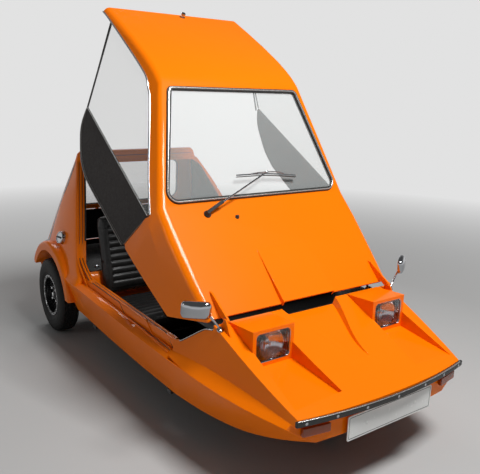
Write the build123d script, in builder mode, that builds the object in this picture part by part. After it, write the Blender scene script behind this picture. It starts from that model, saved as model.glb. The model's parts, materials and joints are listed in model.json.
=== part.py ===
from build123d import *
import os
from math import atan2, cos, degrees, radians, sin, sqrt

os.makedirs("parts", exist_ok=True)

# Three wheeled car with one front wheel and a one-piece canopy that tips forward.
# Millimetres. The nose points to -Y, +X is the car's left side, +Z is up, and the ground is z = 0.
# Everything on the canopy is drawn at a low angle about its hinge and then turned up to where it stands open.

# Overall sizes
length = 2794
width = 1397
wheelbase = 1956
nose_y = -length / 2
tail_y = length / 2
front_axle_y = -902
rear_axle_y = front_axle_y + wheelbase
skin = 8
gap = 6
joint_gap = 0.3

# Nose deck, a slope from the bumper to the canopy, crowned towards its front edge
deck_front_y = -1345
deck_front_z = 424
deck_slope = 0.42
deck_rear_y = -811
bow_radius = 2400
bumper_thick = 14
bumper_low_z, bumper_high_z = 405, 430
apron_set_back = 22

# Wheels and tyres
tyre_radius = 252
tyre_width = 135
rim_radius = 129
rim_width = 112
hub_bore = 16
rear_wheel_x = 628
arch_centre = (1030, 240)
arch_radius = 330
arch_lip = 60

# Canopy hinge. Shut, the canopy lies shut_angle above the position it is drawn in. Open, it is at open_angle
hinge_y = -850
hinge_z = 671
hinge_x = 507
hinge_pin = 6
pin_clearance = 0.05
shut_angle = 2
open_angle = 31

# Sill, door opening and floor
sill_top_z = 505
sill_front_y = -560
sill_rear_y = 545
sill_end_y = 620
sill_inner_x = 585
floor_z = 251
floor_thick = 8

# Steering
kingpin_x = 110
kingpin_radius = 14


def deck(y):
    """Height of the nose deck at y, at its sides."""
    return deck_front_z + deck_slope * (y - deck_front_y)


def across(y):
    """An upright plane across the car at y, drawn in x and z."""
    return Plane.XZ.offset(-y)


def along(x):
    """An upright plane along the car at x, drawn in y and z."""
    return Plane.YZ.offset(x)


def level(z):
    """A level plane at z, drawn in x and y."""
    return Plane.XY.offset(z)


def both_sides(half):
    """A right half's points and their mirror images, as one closed ring."""
    return half + [(-x, z) for x, z in reversed(half)]


def prism(plane, points, depth, both=True):
    """A closed outline pushed out from its plane."""
    with BuildPart() as body:
        with BuildSketch(plane):
            with BuildLine():
                Polyline(*points, close=True)
            make_face()
        extrude(amount=depth, both=both)
    return body.part


def block(x0, x1, y0, y1, z0, z1):
    """A box between two corners."""
    with BuildPart() as body:
        with Locations(((x0 + x1) / 2, (y0 + y1) / 2, (z0 + z1) / 2)):
            Box(x1 - x0, y1 - y0, z1 - z0)
    return body.part


def rod(start, end, radius, bore=0):
    """A round bar or tube between two points."""
    path = Vector(*end) - Vector(*start)
    with BuildPart() as body:
        with BuildSketch(Plane(origin=start, z_dir=path)):
            Circle(radius)
            if bore:
                Circle(bore, mode=Mode.SUBTRACT)
        extrude(amount=path.length)
    return body.part


def bent_rod(points, radius):
    """A round bar through several points, with a ball at each bend."""
    with BuildPart() as body:
        for start, end in zip(points, points[1:]):
            add(rod(start, end, radius))
        with Locations(*points[1:-1]):
            Sphere(radius)
    return body.part


pieces = {}


def keep(part, name):
    """Label a finished piece and write its file."""
    part.label = name
    export_step(part, f"parts/{name}.step")
    pieces[name] = part


def opened(part):
    """Turn a piece from where the canopy is drawn to where the open canopy holds it."""
    return part.rotate(Axis((0, hinge_y, hinge_z), (1, 0, 0)), open_angle)


def bowed(mid_y, low_z, high_z):
    """Everything behind the bowed front line that passes through mid_y."""
    reach = 640
    sag = bow_radius - sqrt(bow_radius**2 - reach**2)
    with BuildPart() as body:
        with BuildSketch(level(low_z)):
            with BuildLine():
                ThreePointArc((-reach, mid_y + sag), (0, mid_y), (reach, mid_y + sag))
                Polyline((reach, mid_y + sag), (reach, -300), (-reach, -300), (-reach, mid_y + sag))
            make_face()
        extrude(amount=high_z - low_z)
    return body.part


# Nose body: deck, wings, headlamp pods and troughs, and the air scoop
# columns: y, ridge x, hollow x and z, crease x and z, foot x and z, crown
nose_rows = [
    (-1420, 480, 484, 384, 484, 372, 350, 330, 34),
    (-1200, 520, 530, 424, 563, 393, 450, 262, 12),
    (-1000, 540, 557, 446, 606, 400, 516, 224, 4),
    (-780, 551, 587, 456, 633, 408, 567, 215, 2),
    (sill_front_y, 556, 618, 450, 653, 417, 600, 219, 2),
]
bow_y = nose_y + bumper_thick


def nose_solid(inset, drop):
    """The nose through its rows, moved in by the skin and opened below."""
    with BuildPart() as body:
        for y, ridge_x, hollow_x, hollow_z, crease_x, crease_z, foot_x, foot_z, crown in nose_rows:
            ridge_z = deck(y) - inset
            with BuildSketch(across(y)):
                with BuildLine():
                    right = [
                        (foot_x - inset, foot_z - drop),
                        (crease_x - inset, crease_z),
                        (hollow_x - inset, hollow_z),
                        (ridge_x - inset, ridge_z),
                    ]
                    Polyline(*right)
                    ThreePointArc(right[-1], (0, ridge_z + crown), (-right[-1][0], ridge_z))
                    Polyline(*[(-x, z) for x, z in reversed(right)])
                    Line((-right[0][0], right[0][1]), right[0])
                make_face()
        loft()
    return body.part


pod_inner_x, pod_outer_x = 250, 474
pod_top_z = 663
pod_front_y = -996
pod_depth = 90
lamp_inner_x, lamp_outer_x = 268, 456
lamp_low_z, lamp_high_z = 512, 648
lamp_depth = 60
trough_floor_z = 496
trough_tip_y = -1292
trough_tip_x = (233, 480)
trough_inset = 6
scoop_floor = 34
opening_rear_z = 624


def trough(side, grow=0):
    """The sunk wedge ahead of a headlamp, and the same grown by the skin for its walls."""
    inner = side * (pod_inner_x + trough_inset - grow)
    outer = side * (pod_outer_x - trough_inset + grow)
    tip_inner = side * (trough_tip_x[0] - grow)
    tip_outer = side * (trough_tip_x[1] + grow)
    floor = trough_floor_z - grow
    tip_z = deck(trough_tip_y) - grow
    top = pod_top_z + 40
    with BuildPart() as body:
        with BuildSketch(across(pod_front_y + grow)):
            with BuildLine():
                Polyline((inner, floor), (outer, floor), (outer, top), (inner, top), close=True)
            make_face()
        with BuildSketch(across(trough_tip_y - grow)):
            with BuildLine():
                Polyline((tip_inner, tip_z), (tip_outer, tip_z), (tip_outer, top), (tip_inner, top), close=True)
            make_face()
        loft(ruled=True)
    return body.part


def scoop(grow=0):
    """The air scoop, deepest at the canopy and running out down the deck."""
    # columns: y, half width at the deck, half width at the floor, depth
    rows = [(-800, 190, 158, scoop_floor), (-960, 128, 100, 22), (-1070, 76, 58, 9), (-1185 - grow, 60, 46, -12)]
    with BuildPart() as body:
        for y, top_x, floor_x, depth in rows:
            half = [(floor_x + grow, deck(y) - depth - grow), (top_x + grow, deck(y) + 40)]
            with BuildSketch(across(y)):
                with BuildLine():
                    Polyline(*both_sides(half), close=True)
                make_face()
        loft()
    return body.part


nose_outer = nose_solid(0, 0)
nose_walls = nose_solid(skin, 60) & bowed(bow_y + apron_set_back + skin, 0, 900)
for side in (1, -1):
    nose_walls = nose_walls - trough(side, skin)
nose_walls = nose_walls - scoop(skin)

with BuildPart() as nose_body:
    add(nose_outer)
    add(bowed(bow_y, 0, 900), mode=Mode.INTERSECT)
    # below the bumper the apron stands back
    apron_face = bowed(bow_y - 100, 0, bumper_low_z) - bowed(bow_y + apron_set_back, 0, bumper_low_z)
    add(apron_face, mode=Mode.SUBTRACT)
    add(nose_walls, mode=Mode.SUBTRACT)
    for side in (1, -1):
        with BuildSketch(along(side * (pod_inner_x + pod_outer_x) / 2)):
            with BuildLine():
                Polyline(
                    (deck_rear_y, deck(deck_rear_y) - skin),
                    (deck_rear_y, deck(deck_rear_y) + 2),
                    (pod_front_y, pod_top_z),
                    (pod_front_y, trough_floor_z - skin),
                    (pod_front_y + pod_depth, trough_floor_z - skin),
                    close=True,
                )
            make_face()
        extrude(amount=(pod_outer_x - pod_inner_x) / 2, both=True)
    for side in (1, -1):
        add(trough(side), mode=Mode.SUBTRACT)
        # the lamp's pocket
        with BuildSketch(across(pod_front_y - 5)):
            with Locations((side * (lamp_inner_x + lamp_outer_x) / 2, (lamp_low_z + lamp_high_z) / 2)):
                RectangleRounded(lamp_outer_x - lamp_inner_x, lamp_high_z - lamp_low_z, 22)
        extrude(amount=-(lamp_depth + 5), mode=Mode.SUBTRACT)
    add(scoop(), mode=Mode.SUBTRACT)
    # the deck stops at the canopy, and the door opening is cut down from each ridge
    with BuildSketch(Plane.YZ):
        with BuildLine():
            Polyline((deck_rear_y, 300), (deck_rear_y, 900), (-520, 900), (-520, 300), close=True)
        make_face()
    extrude(amount=520, both=True, mode=Mode.SUBTRACT)
    with BuildSketch(Plane.YZ):
        with BuildLine():
            Polyline(
                (deck_rear_y, deck(deck_rear_y) + 200),
                (deck_rear_y, opening_rear_z),
                (-760, opening_rear_z - 12),
                (-680, 560),
                (-610, 512),
                (sill_front_y + 2, sill_top_z),
                (sill_front_y + 40, 900),
                close=True,
            )
        make_face()
    extrude(amount=width, both=True, mode=Mode.SUBTRACT)
keep(nose_body.part, "nose_body")

# Sills: one closed section along each side, with a step that the canopy's lower edge hangs beside
# columns: y, crease x and z, ridge x and z, foot x and z
sill_rows = [
    (sill_front_y, 653, 417, 620, 450, 600, 219),
    (-200, 670, 430, 636, 458, 612, 224),
    (200, 680, 445, 640, 464, 618, 232),
    (sill_rear_y, 688, 458, 642, 470, 620, 243),
    (sill_end_y, 690, 461, 642, 472, 620, 245),
]
ridge_step = 14
ledge_rise = 2

with BuildPart() as side_sills:
    for side in (1, -1):
        for y, crease_x, crease_z, ridge_x, ridge_z, foot_x, foot_z in sill_rows:
            outline = [
                (sill_inner_x, foot_z),
                (foot_x, foot_z),
                (crease_x, crease_z),
                (ridge_x, ridge_z),
                (ridge_x - ridge_step, ridge_z + ledge_rise),
                (ridge_x - ridge_step, sill_top_z),
                (ridge_x - 2 * ridge_step, sill_top_z + 6),
                (sill_inner_x, sill_top_z),
            ]
            with BuildSketch(across(y)):
                with BuildLine():
                    Polyline(*[(side * x, z) for x, z in outline], close=True)
                make_face()
        loft(ruled=True)

# Tail body: a shell that leans forward, with the hoop that the canopy shuts on
hoop_seat_y = 1052
hoop_seat_z = 1183
hoop_top_z = 1222
tail_wall = 14
tail_rear_y = 1345
tail_foot_z = 243
tail_wide_y, tail_stripe_y = 960, 1100
# columns: z, front y, rear y, half widths at the front, widest, stripe and rear, front and rear corner radius
tail_rows_low = [
    (tail_foot_z, sill_rear_y, 1322, 616, 618, 616, 610, 8, 40),
    (330, sill_rear_y, tail_rear_y, 650, 652, 650, 644, 8, 40),
    (458, sill_rear_y, tail_rear_y, 688, 690, 688, 670, 12, 40),
    (500, 562, 1342, 652, 672, 668, 634, 30, 40),
    (529, 588, 1338, 647, 666, 662, 622, 46, 40),
]
tail_rows_high = [
    (529, 588, 1338, 647, 666, 662, 622, 46, 40),
    (700, 690, 1282, 604, 627, 620, 575, 46, 40),
    (860, 787, 1230, 561, 576, 571, 533, 46, 40),
    (1013, 899, 1180, 514, 517, 513, 490, 46, 40),
    (1165, 1036, 1130, 457, 456.5, 455.5, 450, 40, 40),
]
tail_rows_top = [
    (1165, 1036, 1130, 457, 456.5, 455.5, 450, 40, 40),
    (1200, 1042, 1118, 447, 446.5, 445.5, 443, 34, 30),
    (hoop_top_z, 1046, 1108, 424, 423.5, 422.5, 421, 24, 24),
]
shelf_z = 520
pillar_width = 50
hoop_low_z = 1143


def tail_ring(z, front_y, rear_y, front_x, wide_x, stripe_x, rear_x, front_radius, rear_radius, inset=0):
    """One level outline of the tail: bowed flanks, a taper behind the stripe and rounded corners."""
    stripe_y = min(tail_stripe_y, rear_y - rear_radius - 4)
    wide_y = max(tail_wide_y, (front_y + stripe_y) / 2)
    right = [
        (front_x - inset, front_y + inset),
        (wide_x - inset, wide_y),
        (stripe_x - inset, stripe_y),
        (rear_x - inset, rear_y - inset),
    ]
    left = [(-x, y) for x, y in right]
    with BuildSketch(level(z)) as ring:
        with BuildLine():
            Line(left[0], right[0])
            ThreePointArc(*right[:3])
            Line(right[2], right[3])
            Line(right[3], left[3])
            Line(left[3], left[2])
            ThreePointArc(*left[2::-1])
        make_face()
        corners = ring.vertices().sort_by(Axis.Y)
        fillet(corners[:2], max(front_radius - inset, 4))
        corners = ring.vertices().sort_by(Axis.Y)
        fillet(corners[-2:], rear_radius - inset)
    return ring.sketch


with BuildPart() as tail_skin:
    for rows in (tail_rows_low, tail_rows_high, tail_rows_top):
        for row in rows:
            add(tail_ring(*row))
        loft(ruled=rows is not tail_rows_high)
with BuildPart() as tail_cavity:
    for rows in (tail_rows_low, tail_rows_high, tail_rows_top):
        for z, *rest_of_row in rows:
            inner_z = {tail_foot_z: z - 1, hoop_top_z: z - tail_wall}.get(z, z)
            add(tail_ring(inner_z, *rest_of_row, tail_wall))
        loft(ruled=rows is not tail_rows_high)
tail_shell = tail_skin.part - tail_cavity.part

# The sills end against the tail's front
side_sills = side_sills.part - tail_skin.part.translate((0, -joint_gap, 0))
keep(side_sills, "side_sills")

# Rear window and boot lid are cut from the tail's sloping back
window_low_z, window_high_z = 820, 1136
window_low_x, window_high_x = 400, 350
window_radius = 60
lid_low_z, lid_high_z = 540, 790
lid_low_x, lid_high_x = 430, 410
lid_radius = 40


def rear_outline(low_x, low_z, high_x, high_z, radius, inset=0):
    """A rounded opening in the tail's back, cut straight along the car."""
    with BuildPart() as body:
        with BuildSketch(across(1500)) as shape:
            with BuildLine():
                Polyline(
                    (-low_x + inset, low_z + inset),
                    (low_x - inset, low_z + inset),
                    (high_x - inset, high_z - inset),
                    (-high_x + inset, high_z - inset),
                    close=True,
                )
            make_face()
            fillet(shape.vertices(), radius)
        extrude(amount=1500 - hoop_seat_y - 2 * tail_wall)
    return body.part


def rear_face_y(z):
    """Where the tail's sloping back lies at a height."""
    (z0, _, y0, *_), (z1, _, y1, *_) = tail_rows_high[1], tail_rows_high[-1]
    return y0 + (z - z0) * (y1 - y0) / (z1 - z0)


well_inner_x = 505
well_thick = 8
lip_inner_x = 622
lip_rear_y = 1340
lip_low_front_z, lip_low_rear_z = 320, 420
axle_slot_radius = 66

# The wells' walls, kept inside the tail, and the flared lips round the arches
well_walls = None
for side in (1, -1):
    with BuildPart() as well:
        with BuildSketch(along(side * well_inner_x)):
            with Locations(arch_centre):
                Circle(arch_radius + well_thick)
        extrude(amount=side * (lip_inner_x - well_inner_x + 8))
    inside = well.part & tail_skin.part
    well_walls = inside if well_walls is None else well_walls + inside
with BuildPart() as arch_lips:
    for side in (1, -1):
        with BuildSketch(along(side * lip_inner_x)):
            with Locations(arch_centre):
                Circle(arch_radius + arch_lip)
            with BuildLine():
                Polyline(
                    (0, -400),
                    (3000, -400),
                    (3000, 1000),
                    (lip_rear_y, 1000),
                    (lip_rear_y, lip_low_rear_z),
                    (rear_axle_y, lip_low_rear_z),
                    (rear_axle_y, lip_low_front_z),
                    (0, lip_low_front_z),
                    close=True,
                )
            make_face(mode=Mode.SUBTRACT)
        extrude(amount=side * (width / 2 - lip_inner_x))
        outer = arch_lips.faces().sort_by(Axis.X)[-1 if side > 0 else 0]
        fillet(outer.edges().filter_by(GeomType.CIRCLE), 22)

with BuildPart() as tail_body:
    add(tail_shell)
    # the cabin opens into the tail between the pillars
    with BuildSketch(across(500)):
        with BuildLine():
            half = [(front_x - pillar_width, z) for z, _, _, front_x, *_ in tail_rows_high[:-1]]
            half += [(438, hoop_low_z - 40), (400, hoop_low_z)]
            Polyline((-half[0][0], shelf_z), (half[0][0], shelf_z), *half)
            Polyline(half[-1], (-half[-1][0], half[-1][1]))
            Polyline(*[(-x, z) for x, z in reversed(half)], (-half[0][0], shelf_z))
        make_face()
    extrude(amount=-580, mode=Mode.SUBTRACT)
    # the hoop steps down to the seat that the roof shuts on
    add(block(-600, 600, 600, hoop_seat_y, hoop_seat_z, 1300), mode=Mode.SUBTRACT)
    hoop_seat = block(-600, 600, 600, hoop_seat_y + tail_wall, hoop_seat_z - tail_wall, hoop_seat_z)
    hoop_riser = block(-600, 600, hoop_seat_y, hoop_seat_y + tail_wall, hoop_seat_z - tail_wall, hoop_top_z)
    add((hoop_seat + hoop_riser) & tail_skin.part)
    window_cut = rear_outline(window_low_x, window_low_z, window_high_x, window_high_z, window_radius)
    add(window_cut, mode=Mode.SUBTRACT)
    add(rear_outline(lid_low_x, lid_low_z, lid_high_x, lid_high_z, lid_radius), mode=Mode.SUBTRACT)
    add(well_walls)
    add(arch_lips.part)
    for side in (1, -1):
        with BuildSketch(along(side * (well_inner_x + well_thick))):
            with Locations(arch_centre):
                Circle(arch_radius)
        extrude(amount=side * 300, mode=Mode.SUBTRACT)
        with BuildSketch(along(side * (well_inner_x - 10))):
            with Locations((rear_axle_y, tyre_radius)):
                SlotOverall(4 * axle_slot_radius, 2 * axle_slot_radius, rotation=90)
        extrude(amount=side * 60, mode=Mode.SUBTRACT)
    # nothing of the wells hangs below the sills, and the sills' ends stay clear
    add(block(-700, 700, 400, 1500, -300, tail_foot_z), mode=Mode.SUBTRACT)
    add(block(-700, 700, 400, sill_rear_y, 200, sill_top_z + 10), mode=Mode.SUBTRACT)
keep(tail_body.part, "tail_body")

# Boot lid and its two hinges, whose pins lie above the lid's upper edge
lid_pin = 3
lid_barrel = 7
lid_stand_off = 12
lid_hinge_x = 250
back_lean = atan2(rear_face_y(lid_high_z) - rear_face_y(lid_high_z + 100), 100)
lid_hinge_y = rear_face_y(lid_high_z) + lid_stand_off * cos(back_lean)
lid_hinge_z = lid_high_z + lid_stand_off * sin(back_lean)

with BuildPart() as boot_lid:
    add(tail_shell)
    add(rear_outline(lid_low_x, lid_low_z, lid_high_x, lid_high_z, lid_radius, gap), mode=Mode.INTERSECT)
    for side in (1, -1):
        with BuildSketch(along(side * lid_hinge_x)):
            with Locations((lid_hinge_y, lid_hinge_z)):
                Circle(lid_barrel)
            with BuildLine():
                Polyline(
                    (lid_hinge_y + 5, lid_hinge_z + 3),
                    (lid_hinge_y - 5, lid_hinge_z - 3),
                    (rear_face_y(lid_high_z - 16) - 3, lid_high_z - 16),
                    (rear_face_y(lid_high_z - 50) - 3, lid_high_z - 50),
                    (rear_face_y(lid_high_z - 50) + 4, lid_high_z - 50),
                    close=True,
                )
            make_face()
            with Locations((lid_hinge_y, lid_hinge_z)):
                Circle(lid_pin + pin_clearance, mode=Mode.SUBTRACT)
        extrude(amount=11, both=True)
keep(boot_lid.part, "boot_lid")

with BuildPart() as lid_hinges:
    for side in (1, -1):
        for start in (-20, 12):
            with BuildSketch(along(side * lid_hinge_x + start)):
                with Locations((lid_hinge_y, lid_hinge_z)):
                    Circle(lid_barrel)
                with BuildLine():
                    Polyline(
                        (lid_hinge_y, lid_hinge_z),
                        (rear_face_y(lid_high_z + 6) + joint_gap, lid_high_z + 6),
                        (rear_face_y(lid_high_z + 26) + joint_gap, lid_high_z + 26),
                        (rear_face_y(lid_high_z + 26) + 5, lid_high_z + 26),
                        (lid_hinge_y + 5, lid_hinge_z + 5),
                        close=True,
                    )
                make_face()
            extrude(amount=8)
        pin_ends = [(side * lid_hinge_x + end, lid_hinge_y, lid_hinge_z) for end in (-19, 19)]
        add(rod(*pin_ends, lid_pin))
keep(lid_hinges.part, "lid_hinges")

glass_thick = 5
window_mid_z = (window_low_z + window_high_z) / 2
window_plane = Plane(
    origin=(0, rear_face_y(window_mid_z) - 4, window_mid_z),
    x_dir=(1, 0, 0),
    z_dir=(0, -cos(back_lean), -sin(back_lean)),
)
with BuildPart() as rear_window:
    with BuildSketch(window_plane):
        Rectangle(1000, 460)
    extrude(amount=glass_thick)
    add(
        rear_outline(window_low_x, window_low_z, window_high_x, window_high_z, window_radius, joint_gap),
        mode=Mode.INTERSECT,
    )
keep(rear_window.part, "rear_window")

# Canopy shell: front slope, flared side panels, windscreen pillars and roof
# columns: y, lower x, waist x, waist z, corner x, corner z, corner radius
canopy_rows = [
    (-805, 612, 586, 545, 564, 645, 30),
    (-632, 632, 606, 570, 583, 690, 40),
    (-400, 648, 622, 630, 598, 751, 44),
    (-235, 656, 629, 700, 590, 795, 46),
    (0, 664, 622, 741, 526, 955, 38),
    (296, 664, 613, 741, 446, 1158, 36),
    (330, 664, 612, 741, 446, 1167, 36),
    (370, 664, 611, 741, 446, 1175, 36),
    (430, 664, 609, 741, 446, 1182, 36),
    (520, 664, 606, 741, 446, 1187, 36),
    (700, 664, 601, 741, 446, 1186, 36),
    (880, 664, 595, 741, 446, 1179, 36),
    (1058, 664, 590, 741, 446, 1168, 36),
]
canopy_front_y = canopy_rows[0][0]
canopy_foot_z = 440


def canopy_solid(inset):
    """The canopy's outer form, or its hollow moved in by the skin and run past both ends."""
    with BuildPart() as body:
        for row in canopy_rows:
            y, low_x, waist_x, waist_z, corner_x, corner_z, radius = row
            if inset:
                y = y + {canopy_rows[0]: -2, canopy_rows[-1]: -inset}.get(row, 0)
            with BuildSketch(across(y)) as ring:
                with BuildLine():
                    half = [
                        (low_x - inset, canopy_foot_z - 2 * inset),
                        (waist_x - inset, waist_z),
                        (corner_x - inset, corner_z - inset),
                    ]
                    Polyline(*both_sides(half), close=True)
                make_face()
                fillet(ring.vertices().group_by(Axis.Y)[-1], radius - inset)
        loft(ruled=True)
    return body.part


def slope_z(y):
    """Height of the canopy's front slope at y."""
    (y0, *_, z0, _), (y1, *_, z1, _) = canopy_rows[0], canopy_rows[3]
    return z0 + (y - y0) * (z1 - z0) / (y1 - y0)


# The windscreen lies in one sloping plane, drawn with x across and s up the glass
screen_low_y, screen_low_z = -235, 795
screen_high_y, screen_high_z = 296, 1158
screen_angle = atan2(screen_high_z - screen_low_z, screen_high_y - screen_low_y)
screen_low_half, screen_high_half = 556, 414
screen_start = 12
screen_length = sqrt((screen_high_y - screen_low_y) ** 2 + (screen_high_z - screen_low_z) ** 2) - 26
screen_low_radius, screen_high_radius = 62, 36
seal_width = 20
screen_plane = Plane(
    origin=(0, screen_low_y, screen_low_z),
    x_dir=(1, 0, 0),
    z_dir=(0, -sin(screen_angle), cos(screen_angle)),
)


def screen_outline(inset, start, thick):
    """The windscreen's rounded outline as a slab through its plane."""
    with BuildPart() as body:
        with BuildSketch(screen_plane.offset(start)) as shape:
            with BuildLine():
                Polyline(
                    (-screen_low_half + inset, screen_start + inset),
                    (screen_low_half - inset, screen_start + inset),
                    (screen_high_half - inset, screen_length - inset),
                    (-screen_high_half + inset, screen_length - inset),
                    close=True,
                )
            make_face()
            fillet(shape.vertices().group_by(Axis.Y)[0], screen_low_radius - inset)
            fillet(shape.vertices().group_by(Axis.Y)[-1], screen_high_radius - inset)
        extrude(amount=thick)
    return body.part


bulge_half, bulge_start_y, bulge_high = 163, -510, 22
panel_front_y, panel_rear_y, panel_low_z = -632, -124, 458
side_cut_x = 420
roof_lip = 32
# The side's lower edge runs up the windscreen pillar and back along the roof
side_edge = [
    (panel_rear_y, panel_low_z + 16),
    (-210, 738),
    (-60, 832),
    (144, 972),
    (284, 1067),
    (338, 1095),
    (384, 1118),
    (450, 1129),
    (620, 1138),
    (960, 1144),
    (1070, 1140),
]
roof_edge_z = side_edge[-2][1]


def bulge(inset):
    """The raised middle of the front slope that feeds the air slot."""
    front_y = canopy_front_y - 6
    return prism(
        along(0),
        [
            (bulge_start_y + 3 * inset, slope_z(bulge_start_y) - inset),
            (front_y - inset, slope_z(front_y) + bulge_high - inset),
            (front_y - inset, slope_z(front_y) - skin - inset),
            (bulge_start_y, slope_z(bulge_start_y) - skin - inset - 4),
        ],
        bulge_half - inset,
    )


with BuildPart() as canopy_shell:
    add(canopy_solid(0) - canopy_solid(skin))
    add(bulge(0))
    add(bulge(skin), mode=Mode.SUBTRACT)
    # each flank keeps only its side panel, its windscreen pillar and the roof's edge
    for side in (1, -1):
        with BuildSketch(along(side * side_cut_x)):
            with BuildLine():
                Polyline(
                    (-900, 600),
                    (-815, 634),
                    (panel_front_y + 8, panel_low_z + 14),
                    (panel_front_y + 26, panel_low_z),
                    (panel_rear_y - 26, panel_low_z),
                    *side_edge,
                    (side_edge[-1][0], 300),
                    (-900, 300),
                    close=True,
                )
            make_face()
        extrude(amount=side * 400, mode=Mode.SUBTRACT)
    add(block(-side_cut_x, side_cut_x, -900, 1100, 300, 620), mode=Mode.SUBTRACT)
    # the roof's rear end turns down in a lip
    roof_rear_y, roof_rear_z = canopy_rows[-1][0], canopy_rows[-1][5]
    add(block(-side_cut_x - 1, side_cut_x + 1, 900, 1100, 600, roof_rear_z - roof_lip), mode=Mode.SUBTRACT)
    add(screen_outline(0, -60, 120), mode=Mode.SUBTRACT)
keep(opened(canopy_shell.part), "canopy_shell")

with BuildPart() as windscreen_seal:
    add(screen_outline(joint_gap, -16, 24))
    add(screen_outline(seal_width, -20, 40), mode=Mode.SUBTRACT)
keep(opened(windscreen_seal.part), "windscreen_seal")
keep(opened(screen_outline(seal_width + joint_gap, -8, 6)), "windscreen")

# Hinge blades and the strut's pin on the canopy
blade_thick = 10
blade_high = 14
blade_start_y = -678
strut_x = 480
strut_foot = (-750, 622)
strut_head_drawn = (-480, 702)
strut_pin = 5
strut_eye = 12
strut_tube = 12
strut_rod_radius = 6
strut_eye_slack = 4
strut_eye_half = 8
ear_thick = 5
ear_gap = 0.5
ear_x = strut_eye_half + ear_gap

with BuildPart() as hinge_blades:
    for side in (1, -1):
        with BuildSketch(along(side * hinge_x)):
            with BuildLine():
                Polyline(
                    (blade_start_y, slope_z(blade_start_y) + joint_gap),
                    (canopy_front_y + 2, slope_z(canopy_front_y + 2) + joint_gap),
                    (canopy_front_y - 3, hinge_z - blade_high),
                    (hinge_y + 4, hinge_z - blade_high),
                    (hinge_y - 8, hinge_z - blade_high + 3),
                    (hinge_y - 14, hinge_z),
                    (hinge_y - 8, hinge_z + blade_high - 3),
                    (hinge_y + 4, hinge_z + blade_high),
                    (blade_start_y - 20, slope_z(blade_start_y - 20) + blade_high),
                    close=True,
                )
            make_face()
            with Locations((hinge_y, hinge_z)):
                Circle(hinge_pin + pin_clearance, mode=Mode.SUBTRACT)
        extrude(amount=blade_thick / 2, both=True)
    # a clevis under the slope carries the strut's upper pin
    head_y, head_z = strut_head_drawn
    for start in (-ear_x - ear_thick, ear_x):
        with BuildSketch(along(strut_x + start)):
            with BuildLine():
                Polyline(
                    (head_y - 16, slope_z(head_y - 16) - skin - joint_gap - 0.7),
                    (head_y - 10, head_z - 8),
                    (head_y + 10, head_z - 8),
                    (head_y + 16, slope_z(head_y + 16) - skin - joint_gap - 0.7),
                    close=True,
                )
            make_face()
        extrude(amount=ear_thick)
    add(rod((strut_x - ear_x - 1, head_y, head_z), (strut_x + ear_x + 1, head_y, head_z), strut_pin - 1))
keep(opened(hinge_blades.part), "hinge_blades")

# Brackets on the nose carry the hinge pins, and one on the scuttle carries the strut's lower pin
bracket_thick = 8
bracket_x = hinge_x + blade_thick / 2 + joint_gap
scuttle_z = 600

with BuildPart() as hinge_brackets:
    for side in (1, -1):
        with BuildSketch(along(side * bracket_x)):
            with BuildLine():
                Polyline(
                    (-895, deck(-895) + 1),
                    (-824, deck(-824) + 1),
                    (hinge_y + 13, hinge_z),
                    (hinge_y + 8, hinge_z + 10),
                    (hinge_y - 8, hinge_z + 10),
                    (hinge_y - 13, hinge_z),
                    close=True,
                )
            make_face()
        extrude(amount=side * bracket_thick)
        pin_ends = [(side * x, hinge_y, hinge_z) for x in (hinge_x - blade_thick / 2 - 2, bracket_x + 1)]
        add(rod(*pin_ends, hinge_pin))
    foot_y, foot_z = strut_foot
    for start in (-ear_x - ear_thick, ear_x):
        with BuildSketch(along(strut_x + start)):
            with BuildLine():
                Polyline(
                    (foot_y - 16, scuttle_z),
                    (foot_y + 16, scuttle_z),
                    (foot_y + 10, foot_z + 9),
                    (foot_y - 10, foot_z + 9),
                    close=True,
                )
            make_face()
        extrude(amount=ear_thick)
    add(rod((strut_x - ear_x - 1, foot_y, foot_z), (strut_x + ear_x + 1, foot_y, foot_z), strut_pin))
keep(hinge_brackets.part, "hinge_brackets")

# Telescopic strut, drawn out to the open canopy's pin


def strut_span(angle):
    """Where the strut's upper pin is with the canopy turned up by an angle, and its distance from the foot."""
    head_dy, head_dz = strut_head_drawn[0] - hinge_y, strut_head_drawn[1] - hinge_z
    turn = radians(angle)
    head = (
        hinge_y + head_dy * cos(turn) - head_dz * sin(turn),
        hinge_z + head_dy * sin(turn) + head_dz * cos(turn),
    )
    return head, sqrt((head[0] - foot_y) ** 2 + (head[1] - foot_z) ** 2)


strut_head, strut_open = strut_span(open_angle)
_, strut_shut = strut_span(shut_angle)
strut_stroke = strut_open - strut_shut
strut_dir = ((strut_head[0] - foot_y) / strut_open, (strut_head[1] - foot_z) / strut_open)
cylinder_length = strut_shut - 42
rod_length = strut_stroke + 60


def up_strut(distance):
    """The point that lies at a distance up the strut from its foot."""
    return (strut_x, foot_y + strut_dir[0] * distance, foot_z + strut_dir[1] * distance)


def strut_ring(centre, bore):
    """An eye about a cross pin."""
    x, y, z = centre
    return rod((x - strut_eye_half, y, z), (x + strut_eye_half, y, z), strut_eye, bore)


with BuildPart() as strut_cylinder:
    add(strut_ring(up_strut(0), strut_pin + pin_clearance))
    add(rod(up_strut(strut_eye - 2), up_strut(26), strut_rod_radius))
    add(rod(up_strut(26), up_strut(cylinder_length), strut_tube))
    add(rod(up_strut(32), up_strut(cylinder_length + 1), strut_rod_radius + joint_gap), mode=Mode.SUBTRACT)
keep(strut_cylinder.part, "strut_cylinder")
with BuildPart() as strut_rod:
    add(strut_ring(up_strut(strut_open), strut_pin - 1 + strut_eye_slack))
    add(rod(up_strut(strut_open - rod_length), up_strut(strut_open - strut_eye + 2), strut_rod_radius))
keep(strut_rod.part, "strut_rod")

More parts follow.
